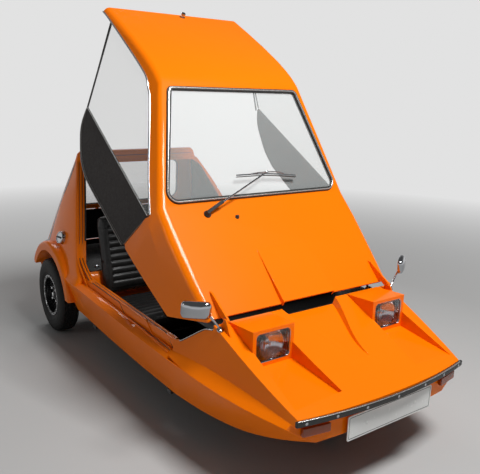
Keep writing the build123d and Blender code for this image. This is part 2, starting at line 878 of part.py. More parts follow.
# Sidescreens: a stiff skirt below, a clear sheet above and a rod behind, outside the pillar when shut
# rows of two: at the front and at the rear, each y, half width low and half width high
skirt_low_z, skirt_high_z = 440, 733
skirt_sides = [(-300, 657, 627), (740, 672, 598)]
skirt_thick = 4
sheet_high_z = 1160
sheet_sides = [(-300, 624, 460), (1060, 588, 447)]
sheet_thick = 3
rod_radius = 5


def panel_edge_y(z):
    """Where the rear edge of the canopy's side panel lies at a height."""
    (y0, z0), (y1, z1) = side_edge[:2]
    return y0 + (z - z0) * (y1 - y0) / (z1 - z0)


def side_sheet(outline, sides, low_z, high_z, thick):
    """A sheet on each flank: its outline in y and z, and its lean at the front and at the rear."""
    with BuildPart() as body:
        for side in (1, -1):
            for y, low_x, high_x in sides:
                with BuildSketch(across(y)):
                    with BuildLine():
                        Polyline(
                            (side * low_x, low_z),
                            (side * high_x, high_z),
                            (side * (high_x - thick), high_z),
                            (side * (low_x - thick), low_z),
                            close=True,
                        )
                    make_face()
            loft(ruled=True)
        with BuildSketch(along(0)):
            with BuildLine():
                Polyline(*outline, close=True)
            make_face()
        extrude(amount=800, both=True, mode=Mode.INTERSECT)
    return body.part


skirt = side_sheet(
    [
        (panel_edge_y(skirt_low_z + 16) + joint_gap, skirt_low_z + 16),
        (-105, skirt_low_z + 5),
        (385, 451),
        (472, 464),
        (556, 495),
        (635, 556),
        (682, 601),
        (708, 650),
        (722, skirt_high_z - 12),
        (716, skirt_high_z),
        (panel_edge_y(skirt_high_z) + joint_gap, skirt_high_z),
    ],
    skirt_sides,
    skirt_low_z,
    skirt_high_z,
    skirt_thick,
)
keep(opened(skirt), "sidescreen_skirts")
sheet_low_z = skirt_high_z + joint_gap
window_sheet = side_sheet(
    [
        (-192, sheet_low_z),
        (722, sheet_low_z),
        (944, roof_edge_z - joint_gap),
        *[(y, z - 2 * joint_gap) for y, z in reversed(side_edge[1:-2])],
    ],
    sheet_sides,
    sheet_low_z,
    sheet_high_z,
    sheet_thick,
)
keep(opened(window_sheet), "sidescreen_windows")
rod_low, rod_high = (594, 728, 712), (451.5, 934, 1142)
with BuildPart() as sidescreen_rods:
    for side in (1, -1):
        ends = [(side * x, y, z) for x, y, z in (rod_low, rod_high)]
        add(rod(*ends, rod_radius))
    add(window_sheet, mode=Mode.SUBTRACT)
keep(opened(sidescreen_rods.part), "sidescreen_rods")

# Wiper: a pivot on the slope, an arm, and a blade along the glass
wiper_pivot = (-226, -262)
with BuildPart() as wiper:
    pivot_x, pivot_y = wiper_pivot
    pivot_z = slope_z(pivot_y) + joint_gap
    add(rod((pivot_x, pivot_y, pivot_z), (pivot_x, pivot_y - 9, pivot_z + 34), 14))
    add(bent_rod([(pivot_x, pivot_y - 7, pivot_z + 26), (-60, -176, 872), (56, -138, 893)], 5))
    add(bent_rod([(-139, -146, 892), (56, -146, 889), (251, -160, 876)], 5))
keep(opened(wiper.part), "wiper")

# Wheels: revolved rims and tyres about the axle line
bead_radius = rim_radius - 1 + joint_gap
bead_half = rim_width / 2 - 12
tread_half = 42


def tyre(centre):
    """A tyre on the X axis through its centre."""
    half = tyre_width / 2
    tread = tyre_radius - 1
    with BuildPart() as body:
        with BuildSketch(Plane.XY):
            with BuildLine():
                Polyline((-bead_half, bead_radius), (-half + 6, 160))
                ThreePointArc((-half + 6, 160), (-half, 195), (-half + 10, 230))
                ThreePointArc((-half + 10, 230), (-half + 14.5, 244), (-tread_half, tread))
                ThreePointArc((-tread_half, tread), (0, tyre_radius), (tread_half, tread))
                ThreePointArc((tread_half, tread), (half - 14.5, 244), (half - 10, 230))
                ThreePointArc((half - 10, 230), (half, 195), (half - 6, 160))
                Polyline((half - 6, 160), (bead_half, bead_radius), (bead_half - 10, bead_radius), (half - 22, 165))
                ThreePointArc((half - 22, 165), (half - 14, 195), (half - 26, 224))
                ThreePointArc((half - 26, 224), (0, tyre_radius - 14), (-half + 26, 224))
                ThreePointArc((-half + 26, 224), (-half + 14, 195), (-half + 22, 165))
                Polyline((-half + 22, 165), (-bead_half + 10, bead_radius), (-bead_half, bead_radius))
            make_face()
        revolve(axis=Axis.X)
    return body.part.translate(centre)


spoke_holes = 8


def rim(centre, outside):
    """A rim with a dished face towards the outside and a bore for its stub axle."""
    half = rim_width / 2
    with BuildPart() as body:
        with BuildSketch(Plane.XY):
            with BuildLine():
                Polyline(
                    (-half, rim_radius + 10),
                    (-half + 5, rim_radius + 10),
                    (-half + 7, rim_radius - 1),
                    (half - 7, rim_radius - 1),
                    (half - 5, rim_radius + 10),
                    (half, rim_radius + 10),
                    (half - 1, rim_radius - 8),
                    (22, rim_radius - 12),
                    (14, 60),
                    (24, 40),
                    (24, hub_bore),
                    (0, hub_bore),
                    (0, 60),
                    (8, rim_radius - 12),
                    (-half + 1, rim_radius - 8),
                    close=True,
                )
            make_face()
        revolve(axis=Axis.X)
        with BuildSketch(Plane.YZ.offset(-5)):
            with PolarLocations(90, spoke_holes):
                Rectangle(34, 26)
        extrude(amount=40, mode=Mode.SUBTRACT)
    turned = body.part if outside > 0 else body.part.mirror(Plane.YZ)
    return turned.translate(centre)


wheels = [
    ("front", (0, front_axle_y, tyre_radius), -1),
    ("rear_left", (rear_wheel_x, rear_axle_y, tyre_radius), 1),
    ("rear_right", (-rear_wheel_x, rear_axle_y, tyre_radius), -1),
]
for place, centre, outside in wheels:
    keep(tyre(centre), f"{place}_tyre")
    keep(rim(centre, outside), f"{place}_rim")

# Bumpers: a bowed strip on the nose and a straight one on the tail
bumper_half = 512
rear_bumper_low_z, rear_bumper_high_z = 385, 450
with BuildPart() as bumpers:
    add(bowed(nose_y, bumper_low_z, bumper_high_z) - bowed(bow_y - joint_gap, bumper_low_z, bumper_high_z))
    add(block(-bumper_half, bumper_half, nose_y - 1, -1200, 300, 500), mode=Mode.INTERSECT)
    add(block(-520, 520, tail_rear_y, tail_y, rear_bumper_low_z, rear_bumper_high_z))
    ends = bumpers.edges().filter_by(Axis.Z).group_by(Axis.Y)[-1]
    fillet(ends, 16)
keep(bumpers.part, "bumpers")

# Number plate, indicators and tail lamps
plate_wide, plate_high, plate_thick = 520, 111, 4
plate_top_z = 386
plate_hole_radius, plate_hole_spacing = 3, 300
plate_y = bow_y + apron_set_back - joint_gap
with BuildPart() as front_plate:
    with BuildSketch(across(plate_y)):
        with Locations((0, plate_top_z - plate_high / 2)):
            RectangleRounded(plate_wide, plate_high, 8)
            with GridLocations(plate_hole_spacing, 1, 2, 1):
                Circle(plate_hole_radius, mode=Mode.SUBTRACT)
    extrude(amount=plate_thick)
keep(front_plate.part, "front_plate")

indicator_x = (345, 470)
indicator_z = (348, 386)
indicator_thick = 20
with BuildPart() as front_indicators:
    front_line = bow_y + apron_set_back - joint_gap
    for side in (1, -1):
        lens = bowed(front_line - indicator_thick, *indicator_z) - bowed(front_line, *indicator_z)
        low_x, high_x = sorted((side * indicator_x[0], side * indicator_x[1]))
        add(lens & block(low_x, high_x, -1500, -1200, 300, 500))
keep(front_indicators.part, "front_indicators")
with BuildPart() as tail_lamps:
    for side in (1, -1):
        with BuildSketch(across(tail_rear_y)):
            with Locations((side * 480, 357)):
                RectangleRounded(120, 46, 10)
        extrude(amount=-18)
keep(tail_lamps.part, "tail_lamps")

# Headlamps: a dished reflector in each pocket behind a flush lens
lens_thick = 6
lamp_wall = 3
with BuildPart() as headlamp_reflectors:
    for side in (1, -1):
        lamp_x = side * (lamp_inner_x + lamp_outer_x) / 2
        lamp_z = (lamp_low_z + lamp_high_z) / 2
        lamp_wide = lamp_outer_x - lamp_inner_x - 2 * joint_gap
        lamp_high = lamp_high_z - lamp_low_z - 2 * joint_gap
        back_y = pod_front_y + lamp_depth - joint_gap
        front_y = pod_front_y + lens_thick + 4
        with BuildSketch(across(front_y)):
            with Locations((lamp_x, lamp_z)):
                RectangleRounded(lamp_wide, lamp_high, 21)
        extrude(amount=front_y - back_y)
        with BuildSketch(across(front_y)):
            with Locations((lamp_x, lamp_z)):
                RectangleRounded(lamp_wide - 2 * lamp_wall, lamp_high - 2 * lamp_wall, 18)
        extrude(amount=front_y - back_y + lamp_wall, taper=14, mode=Mode.SUBTRACT)
keep(headlamp_reflectors.part, "headlamp_reflectors")
with BuildPart() as headlamp_lenses:
    for side in (1, -1):
        with BuildSketch(across(pod_front_y + 2)):
            with Locations((side * (lamp_inner_x + lamp_outer_x) / 2, lamp_z)):
                RectangleRounded(lamp_wide, lamp_high, 21)
        extrude(amount=-lens_thick)
keep(headlamp_lenses.part, "headlamp_lenses")

# Wing mirrors: a small foot, a thin stalk and a rounded head
# columns: side, foot x, neck, head start, head end
mirror_rows = [
    (-1, 540, (-585, -834, 701), (-595, -825, 707), (-666, -764, 750)),
    (1, 540, (604, -826, 694), (632, -806, 716), (643, -838, 792)),
]
mirror_foot_y = -846
mirror_head_radius = 38
with BuildPart() as wing_mirrors:
    for side, foot_x, neck, head_start, head_end in mirror_rows:
        base = (side * foot_x, mirror_foot_y, deck(mirror_foot_y) + 1.4)
        add(rod(base, (base[0], base[1] - 4, base[2] + 10), 15))
        add(bent_rod([(base[0], base[1] - 3, base[2] + 6), neck, head_start], 5))
        middle = [(a + b) / 2 for a, b in zip(head_start, head_end)]
        reach = Vector(*head_end) - Vector(*head_start)
        head_plane = Plane(origin=middle, x_dir=reach, z_dir=Vector(0.25, -1, 0.1).cross(reach).cross(reach))
        with BuildSketch(head_plane.offset(-16)):
            SlotOverall(reach.length + 40, 2 * mirror_head_radius)
        with BuildSketch(head_plane.offset(16)):
            SlotOverall(reach.length + 24, 2 * mirror_head_radius - 18)
        loft()
keep(wing_mirrors.part, "wing_mirrors")

# Fuel cap on the right flank, seated on the tail
cap_centre = (900, 682)
cap_radius, cap_thick, cap_sink = 45, 22, 8


def flank_x(y, z):
    """Half width of the tail's flank ahead of its widest place."""
    (z0, y0, _, x0, w0, *_), (z1, y1, _, x1, w1, *_) = tail_rows_high[:2]
    share = (z - z0) / (z1 - z0)
    front_y, front_x, wide_x = (a + share * (b - a) for a, b in ((y0, y1), (x0, x1), (w0, w1)))
    back = (tail_wide_y - y) / (tail_wide_y - front_y)
    return wide_x - (wide_x - front_x) * back**1.5


with BuildPart() as fuel_cap:
    cap_y, cap_z = cap_centre
    lean = (flank_x(cap_y, cap_z - 20) - flank_x(cap_y, cap_z + 20)) / 40
    taper = (flank_x(cap_y - 20, cap_z) - flank_x(cap_y + 20, cap_z)) / 40
    cap_dir = Vector(-1, taper, lean).normalized()
    cap_base = Vector(-flank_x(cap_y, cap_z), cap_y, cap_z) - cap_dir * cap_sink
    with BuildSketch(Plane(origin=cap_base, x_dir=(0, 1, 0), z_dir=cap_dir)):
        Circle(cap_radius)
    extrude(amount=cap_thick + cap_sink, taper=8)
    add(tail_skin.part.translate((-joint_gap, 0, 0)), mode=Mode.SUBTRACT)
keep(fuel_cap.part, "fuel_cap")

# Cabin floor with a hole for the engine, and footwells beside the front wheel
floor_half = sill_inner_x - joint_gap
footwell_inner_x, footwell_outer_x = 240, 545
well_rear_y = -579
cover_half = 190
cover_rear_y = -60
with BuildPart() as cabin_floor:
    add(block(-floor_half, floor_half, sill_front_y, sill_rear_y - joint_gap, floor_z - floor_thick, floor_z))
    for side in (1, -1):
        low_x, high_x = sorted((side * (footwell_inner_x - 14), side * footwell_outer_x))
        add(block(low_x, high_x, deck_rear_y, sill_front_y, floor_z - floor_thick, floor_z))
    add(block(-cover_half + 8, cover_half - 8, -700, cover_rear_y - 8, 200, 300), mode=Mode.SUBTRACT)
keep(cabin_floor.part, "cabin_floor")

# Bulkhead: firewalls, the box over the front wheel and the scuttle
sheet = 6
wheel_box_z = 540
scuttle_half = 520
scuttle_rear_y = -430
with BuildPart() as bulkhead:
    for side in (1, -1):
        inner, outer = side * footwell_inner_x, side * footwell_outer_x
        low_x, high_x = sorted((inner, outer))
        add(block(low_x, high_x, deck_rear_y, deck_rear_y + sheet, floor_z, scuttle_z - sheet))
        low_x, high_x = sorted((inner, side * (footwell_inner_x - sheet)))
        add(block(low_x, high_x, deck_rear_y, well_rear_y, floor_z, wheel_box_z))
        low_x, high_x = sorted((side * cover_half, inner))
        add(block(low_x, high_x, well_rear_y - sheet, well_rear_y, floor_z, wheel_box_z))
    add(block(-footwell_inner_x, footwell_inner_x, deck_rear_y, well_rear_y, wheel_box_z - sheet, wheel_box_z))
    add(block(-scuttle_half, scuttle_half, deck_rear_y, scuttle_rear_y, scuttle_z - sheet, scuttle_z))
keep(bulkhead.part, "bulkhead")

# Engine cover between the seats' footwells, with the engine and gearbox under it
cover_outline = [
    (well_rear_y + joint_gap, floor_z),
    (well_rear_y + joint_gap, 520),
    (-330, 520),
    (-190, 404),
    (cover_rear_y, 396),
    (cover_rear_y, floor_z),
]
with BuildPart() as engine_cover:
    add(prism(along(0), cover_outline, cover_half))
    edges = engine_cover.edges().filter_by(Axis.X).group_by(Axis.Z)[1:]
    fillet([edge for group in edges for edge in group if edge.center().Y > well_rear_y + 5], 14)
    add(
        prism(
            along(0),
            [
                (well_rear_y - 1, floor_z - 1),
                (well_rear_y - 1, 520 - sheet),
                (-333, 520 - sheet),
                (-193, 404 - sheet),
                (cover_rear_y - sheet, 396 - sheet),
                (cover_rear_y - sheet, floor_z - 1),
            ],
            cover_half - sheet,
        ),
        mode=Mode.SUBTRACT,
    )
keep(engine_cover.part, "engine_cover")

rail_x, rail_wide = 250, 50
rail_low_z, rail_top_z = 193, floor_z - floor_thick
with BuildPart() as engine_block:
    add(block(-150, 150, -550, -345, 190, 500))
    add(block(-90, 90, -345, -80, 196, 380))
    add(block(-rail_x + rail_wide / 2, rail_x - rail_wide / 2, -470, -430, 200, 236))
keep(engine_block.part, "engine_block")

# Dashboard on the scuttle
dash_half = 440
dash_profile = [(-560, scuttle_z), (-560, 684), (-470, 690), (-440, 660), (-434, scuttle_z)]
keep(prism(along(0), dash_profile, dash_half), "dashboard")

# Steering column and wheel, on the right
wheel_centre = (-330, -250, 580)
wheel_radius = 165
wheel_grip = 11
column_radius, shaft_radius = 20, 10
column_dir = Vector(0, -0.94, -0.342).normalized()
column_start, shaft_end = 56, 150


def down_column(distance):
    """The point at a distance down the column from the steering wheel's centre."""
    point = Vector(*wheel_centre) + column_dir * distance
    return (point.X, point.Y, point.Z)


with BuildPart() as steering_column:
    add(rod(down_column(column_start), down_column(640), column_radius))
    shaft_bore = rod(down_column(column_start - 1), down_column(shaft_end + 4), shaft_radius + pin_clearance)
    add(shaft_bore, mode=Mode.SUBTRACT)
    add(block(-500, -200, -1000, deck_rear_y + sheet, 200, 600), mode=Mode.SUBTRACT)
    support_y = -500
    support_z = down_column((wheel_centre[1] - support_y) / 0.94)[2]
    support_x = wheel_centre[0]
    add(block(support_x - 16, support_x + 16, support_y, support_y + 40, support_z + 12, scuttle_z - sheet))
keep(steering_column.part, "steering_column")

with BuildPart() as steering_wheel:
    wheel_plane = Plane(origin=wheel_centre, x_dir=(1, 0, 0), z_dir=column_dir)
    with BuildSketch(Plane(origin=wheel_centre, x_dir=(1, 0, 0), z_dir=Vector(1, 0, 0).cross(column_dir))):
        with Locations((wheel_radius, 0)):
            Circle(wheel_grip)
    revolve(axis=Axis(wheel_centre, column_dir))
    add(rod(down_column(18), down_column(48), 24))
    add(rod(down_column(40), down_column(shaft_end), shaft_radius))
    for angle in (90, 210, 330):
        along_spoke = wheel_plane.x_dir * cos(radians(angle)) + wheel_plane.y_dir * sin(radians(angle))
        hub_end = Vector(*down_column(32)) + along_spoke * 16
        rim_end = Vector(*down_column(2)) + along_spoke * (wheel_radius - 4)
        add(rod((hub_end.X, hub_end.Y, hub_end.Z), (rim_end.X, rim_end.Y, rim_end.Z), 7))
keep(steering_wheel.part, "steering_wheel")

# Pedals hung from the right footwell's firewall, and the hand levers
pedal_top_z = 545
firewall_y = deck_rear_y + sheet
with BuildPart() as pedals:
    add(block(-490, -255, firewall_y, firewall_y + 14, pedal_top_z - 15, pedal_top_z + 15))
    for x in (-466, -400, -278):
        add(rod((x, firewall_y + 8, pedal_top_z), (x, firewall_y + 80, 340), 6))
        add(block(x - 20, x + 20, firewall_y + 74, firewall_y + 84, 310, 366))
keep(pedals.part, "pedals")
with BuildPart() as hand_levers:
    add(bent_rod([(0, -112, 402), (0, -130, 470), (0, -90, 560)], 6))
    with Locations((0, -88, 566)):
        Sphere(19)
    add(block(-14, 14, 60, 130, floor_z, floor_z + 30))
    add(bent_rod([(0, 96, floor_z + 20), (0, 60, 330), (0, -20, 372)], 9))
keep(hand_levers.part, "hand_levers")

# Seats: low bases, cushions and tall backs that narrow upwards
seat_mid_x = 322
base_half, cushion_half = 228, 240
base_top_z = 300
cushion_top_z = 400
cushion_mid_y = 198
seat_gap = 0.5
with BuildPart() as seat_bases:
    for side in (1, -1):
        with BuildSketch(level(floor_z)):
            with Locations((side * seat_mid_x, 210)):
                RectangleRounded(2 * base_half, 500, 30)
        extrude(amount=base_top_z - floor_z)
keep(seat_bases.part, "seat_bases")
with BuildPart() as seat_cushions:
    for side in (1, -1):
        with BuildSketch(level(base_top_z + seat_gap)):
            with Locations((side * seat_mid_x, cushion_mid_y)):
                RectangleRounded(2 * cushion_half, 480, 40)
        extrude(amount=cushion_top_z - base_top_z - seat_gap)
    fillet(seat_cushions.faces().filter_by(Axis.Z).group_by(Axis.Z)[-1].edges(), 24)
keep(seat_cushions.part, "seat_cushions")
back_low, back_high = (442, 402), (592, 880)
back_thick = 96
with BuildPart() as seat_backs:
    lean = Vector(0, back_high[0] - back_low[0], back_high[1] - back_low[1])
    for side in (1, -1):
        for share, inner_x, outer_x in ((0, 92, 536), (0.35, 92, 532), (1, 110, 488)):
            low_y = back_low[0] + share * lean.Y
            low_z = back_low[1] + share * lean.Z
            middle = (side * (inner_x + outer_x) / 2, low_y + back_thick / 2, low_z)
            with BuildSketch(Plane(origin=middle, x_dir=(1, 0, 0), z_dir=lean)):
                RectangleRounded(outer_x - inner_x, back_thick, 30)
        loft(ruled=True)
    # the backs rest against the tail's front wall
    add(block(-600, 600, sill_rear_y - seat_gap, 700, 380, shelf_z + 20), mode=Mode.SUBTRACT)
keep(seat_backs.part, "seat_backs")

# Shelf behind the seats, wider ahead of the wheel wells
shelf_half = well_inner_x - joint_gap
shelf_front_y, shelf_wing_y, shelf_rear_y = 597, 806, 1236
shelf_outline = [
    (shelf_half, shelf_rear_y),
    (shelf_half, shelf_wing_y),
    (606, shelf_wing_y),
    (606, 650),
    (560, shelf_front_y),
]
with BuildPart() as rear_shelf:
    with BuildSketch(level(shelf_z)):
        with BuildLine():
            Polyline(*both_sides(shelf_outline), close=True)
        make_face()
    extrude(amount=sheet)
keep(rear_shelf.part, "rear_shelf")

# Chassis: two rails that rise over the rear axle, and crossmembers
kick_y = (850, 950)
kick_rise = 206
rail_rear_y = 1300
shaft_hole = 34
outrigger_top_z = 218
with BuildPart() as chassis_frame:
    for side in (1, -1):
        with BuildSketch(along(side * rail_x)):
            with BuildLine():
                Polyline(
                    (sill_front_y, rail_low_z),
                    (kick_y[0], rail_low_z),
                    (kick_y[1], rail_low_z + kick_rise),
                    (rail_rear_y, rail_low_z + kick_rise),
                    (rail_rear_y, rail_top_z + kick_rise),
                    (kick_y[1] - 20, rail_top_z + kick_rise),
                    (kick_y[0] - 20, rail_top_z),
                    (sill_front_y, rail_top_z),
                    close=True,
                )
            make_face()
        extrude(amount=rail_wide / 2, both=True)
    for low_y, rise in ((40, 0), (640, 0), (1240, kick_rise)):
        add(block(-rail_x, rail_x, low_y, low_y + rail_wide, rail_low_z + rise, rail_top_z + rise))
    add(rod((0, 0, 218), (0, 800, 218), shaft_hole), mode=Mode.SUBTRACT)
    # outriggers carry the sills
    for side in (1, -1):
        for low_y in (-520, 440):
            low_x, high_x = sorted((side * rail_x, side * (sill_inner_x + 20)))
            add(block(low_x, high_x, low_y, low_y + 40, rail_low_z + 8, outrigger_top_z))
keep(chassis_frame.part, "chassis_frame")

# Front suspension: a swinging arm on one side, the kingpin's knuckle and a spring unit
arm_x = 255
arm_radius = 20
arm_z = 198
pivot_y = sill_front_y - arm_radius - joint_gap
eye_outer = 28
king_low_z, king_high_z = 185, 320
eye_high = 20
hub_low_z, hub_high_z = king_low_z + eye_high + 1, king_high_z - eye_high - 1
knuckle_radius = 24
stub_radius = hub_bore - pin_clearance
drum_radius = 88
king = (kingpin_x, front_axle_y)
with BuildPart() as swing_arm:
    for low_z in (king_low_z, king_high_z - eye_high):
        with BuildSketch(level(low_z)):
            with Locations(king):
                Circle(eye_outer)
                Circle(kingpin_radius + pin_clearance, mode=Mode.SUBTRACT)
        extrude(amount=eye_high)
        add(block(kingpin_x + 18, kingpin_x + 36, front_axle_y - 22, front_axle_y + 22, low_z, low_z + eye_high))
    add(block(kingpin_x + 30, kingpin_x + 52, front_axle_y - 22, front_axle_y + 22, king_low_z, king_high_z))
    add(bent_rod([(kingpin_x + 46, front_axle_y, arm_z + 8), (arm_x, -850, arm_z), (arm_x, pivot_y, 219)], 17))
    add(rod((arm_x - 32, pivot_y, 219), (arm_x + 32, pivot_y, 219), arm_radius))
    with BuildSketch(level(king_low_z - 1)):
        with Locations(king):
            Circle(kingpin_radius + pin_clearance)
    extrude(amount=king_high_z - king_low_z + 2, mode=Mode.SUBTRACT)
keep(swing_arm.part, "swing_arm")

with BuildPart() as steering_knuckle:
    turned_rows = [(kingpin_radius, king_low_z, king_high_z), (knuckle_radius, hub_low_z, hub_high_z)]
    for radius, low_z, high_z in turned_rows:
        with BuildSketch(level(low_z)):
            with Locations(king):
                Circle(radius)
        extrude(amount=high_z - low_z)
    add(rod((kingpin_x, front_axle_y, tyre_radius), (-23, front_axle_y, tyre_radius), stub_radius))
    add(rod((6, front_axle_y, tyre_radius), (60, front_axle_y, tyre_radius), drum_radius))
    # the steering arm points forward, clear of the drum
    add(block(kingpin_x - 10, kingpin_x + 10, front_axle_y - 120, front_axle_y, 236, 250))
keep(steering_knuckle.part, "steering_knuckle")

damper_y = -866
damper_top_z = 500
with BuildPart() as front_spring_unit:
    add(rod((arm_x, damper_y + 16, arm_z + 21), (arm_x, damper_y + 16, damper_top_z), 14))
    add(rod((arm_x, damper_y + 16, 320), (arm_x, damper_y + 16, damper_top_z - 10), 26))
    add(block(arm_x - 34, arm_x + 34, damper_y - 16, deck_rear_y - joint_gap, damper_top_z, damper_top_z + 8))
    flange_y = deck_rear_y - joint_gap
    add(block(arm_x - 34, arm_x + 34, flange_y - 8, flange_y, damper_top_z - 40, damper_top_z + 8))
keep(front_spring_unit.part, "front_spring_unit")

# Rear axle with its drums and differential, its arms and spring units
axle_radius = 30
axle_half = 560
diff_radius = 92
with BuildPart() as rear_axle:
    add(rod((-axle_half, rear_axle_y, tyre_radius), (axle_half, rear_axle_y, tyre_radius), axle_radius))
    with Locations((0, rear_axle_y, tyre_radius)):
        Sphere(diff_radius)
    add(rod((0, rear_axle_y - 150, 218), (0, rear_axle_y, 218), 38))
    for side in (1, -1):
        axle_end = (side * axle_half, rear_axle_y, tyre_radius)
        add(rod(axle_end, (side * (rear_wheel_x - 6), rear_axle_y, tyre_radius), drum_radius))
        add(rod(axle_end, (side * (rear_wheel_x + 23), rear_axle_y, tyre_radius), stub_radius))
keep(rear_axle.part, "rear_axle")
keep(rod((0, -80 + joint_gap, 218), (0, rear_axle_y - 150 - joint_gap, 218), 22), "propshaft")

with BuildPart() as rear_suspension:
    for side in (1, -1):
        add(rod((side * 160, 691.6, 219), (side * 160, rear_axle_y - axle_radius - joint_gap, 250), 14))
        spring_low = tyre_radius + axle_radius + joint_gap
        spring_high = rail_low_z + kick_rise - joint_gap
        add(rod((side * rail_x, rear_axle_y, spring_low), (side * rail_x, rear_axle_y, spring_high), 15))
        spring_ends = [(side * rail_x, rear_axle_y, z) for z in (spring_low + 14, spring_high - 10)]
        add(rod(*spring_ends, 32))
keep(rear_suspension.part, "rear_suspension")

# Exhaust: a pipe along the right rail and a silencer hung under its tail
pipe_x = -190
silencer_radius = 52
silencer_z = rail_low_z + kick_rise - silencer_radius - joint_gap
with BuildPart() as exhaust:
    add(
        bent_rod(
            [
                (-120, -400, 190 - joint_gap),
                (-120, -400, 166),
                (pipe_x, -300, 166),
                (pipe_x, 1110, 170),
                (-rail_x, 1180, 306),
            ],
            17,
        )
    )
    add(rod((-rail_x, 1110, silencer_z), (-rail_x, 1270, silencer_z), silencer_radius))
    tail_pipe = [(1262, silencer_z), (1282, 300), (1282, 214), (1380, 212)]
    add(bent_rod([(-rail_x, y, z) for y, z in tail_pipe], 17))
keep(exhaust.part, "exhaust")
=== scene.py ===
"""Looks for the three wheeled car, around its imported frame. Metres, nose to -Y, the car's left at +X."""
import json
import bpy
import bmesh
from math import atan2, cos, pi, radians, sin, sqrt
from mathutils import Matrix, Vector
from mathutils.bvhtree import BVHTree


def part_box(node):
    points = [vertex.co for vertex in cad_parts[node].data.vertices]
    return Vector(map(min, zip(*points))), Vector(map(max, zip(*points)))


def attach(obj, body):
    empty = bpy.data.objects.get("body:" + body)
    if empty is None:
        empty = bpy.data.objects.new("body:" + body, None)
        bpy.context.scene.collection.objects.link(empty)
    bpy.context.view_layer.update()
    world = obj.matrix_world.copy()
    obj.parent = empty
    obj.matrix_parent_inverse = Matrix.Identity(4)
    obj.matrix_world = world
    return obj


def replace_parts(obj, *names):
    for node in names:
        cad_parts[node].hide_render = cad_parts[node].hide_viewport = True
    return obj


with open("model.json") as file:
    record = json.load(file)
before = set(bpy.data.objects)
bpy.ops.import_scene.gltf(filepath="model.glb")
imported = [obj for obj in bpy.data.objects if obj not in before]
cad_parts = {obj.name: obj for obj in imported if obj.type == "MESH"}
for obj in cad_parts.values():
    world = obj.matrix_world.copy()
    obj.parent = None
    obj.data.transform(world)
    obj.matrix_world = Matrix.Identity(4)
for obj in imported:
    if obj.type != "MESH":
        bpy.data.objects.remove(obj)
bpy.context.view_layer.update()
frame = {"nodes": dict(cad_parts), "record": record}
nodes = frame["nodes"]
node_body = {n: b for b, names in frame["record"]["behaviour"]["bodies"].items() for n in names}
node_slot = {part["node"]: part["material_slot"] for part in frame["record"]["subparts"]}

SIDES = ((1, "left"), (-1, "right"))
MM = 0.001
TIP = 0.001  # the radius, in millimetres, of a turned piece's closed end

# The canopy's pieces are drawn low, 2 degrees below shut, and turned open about its hinge
HINGE = Vector((0, -0.850, 0.671))
OPEN = Matrix.Translation(HINGE) @ Matrix.Rotation(radians(31), 4, "X") @ Matrix.Translation(-HINGE)
TURN = OPEN.to_3x3()


def new_object(name, data):
    """An object in the scene."""
    made = bpy.data.objects.new(name, data)
    bpy.context.scene.collection.objects.link(made)
    return made


def mesh_of(bm, name):
    """A mesh out of a finished bmesh."""
    mesh = bpy.data.meshes.new(name)
    bm.to_mesh(mesh)
    bm.free()
    return mesh


# Camera at the photograph's place
yaw, pitch, roll = radians(35.72), radians(-14.05), radians(1.64)
ahead = Vector((sin(yaw) * cos(pitch), cos(yaw) * cos(pitch), sin(pitch)))
level_right = Vector((cos(yaw), -sin(yaw), 0))
level_up = level_right.cross(ahead)
right = cos(roll) * level_right + sin(roll) * level_up
up = -sin(roll) * level_right + cos(roll) * level_up
camera = new_object("camera", bpy.data.cameras.new("camera"))
camera.matrix_world = Matrix.Translation((-1.856, -2.841, 1.631)) @ Matrix((right, up, -ahead)).transposed().to_4x4()
camera.data.sensor_width = 36
camera.data.lens = 44.48
camera.data.shift_x = -0.0106
camera.data.shift_y = 0.0094
camera.data.clip_end = 100
bpy.context.scene.camera = camera
bpy.context.scene.view_settings.view_transform = "Standard"
bpy.context.scene.view_settings.look = "None"


# Materials, all procedural
def node_tree(name):
    """A new material, its nodes, its links and its shader."""
    made = bpy.data.materials.new(name)
    made.use_nodes = True
    tree = made.node_tree
    return made, tree.nodes, tree.links, tree.nodes["Principled BSDF"]


def noise(tree_nodes, links, coordinates, scale, detail=4.0):
    """A noise texture over object coordinates."""
    made = tree_nodes.new("ShaderNodeTexNoise")
    for socket, value in (("Scale", scale), ("Detail", detail), ("Roughness", 0.5)):
        made.inputs[socket].default_value = value
    links.new(coordinates.outputs["Object"], made.inputs["Vector"])
    return made


def ramp(tree_nodes, links, source, low, high, low_value, high_value):
    """Maps a source's range to values."""
    made = tree_nodes.new("ShaderNodeMapRange")
    for socket, value in (("From Min", low), ("From Max", high), ("To Min", low_value), ("To Max", high_value)):
        made.inputs[socket].default_value = value
    links.new(source, made.inputs["Value"])
    return made.outputs["Result"]


finishes, slots = {}, {}


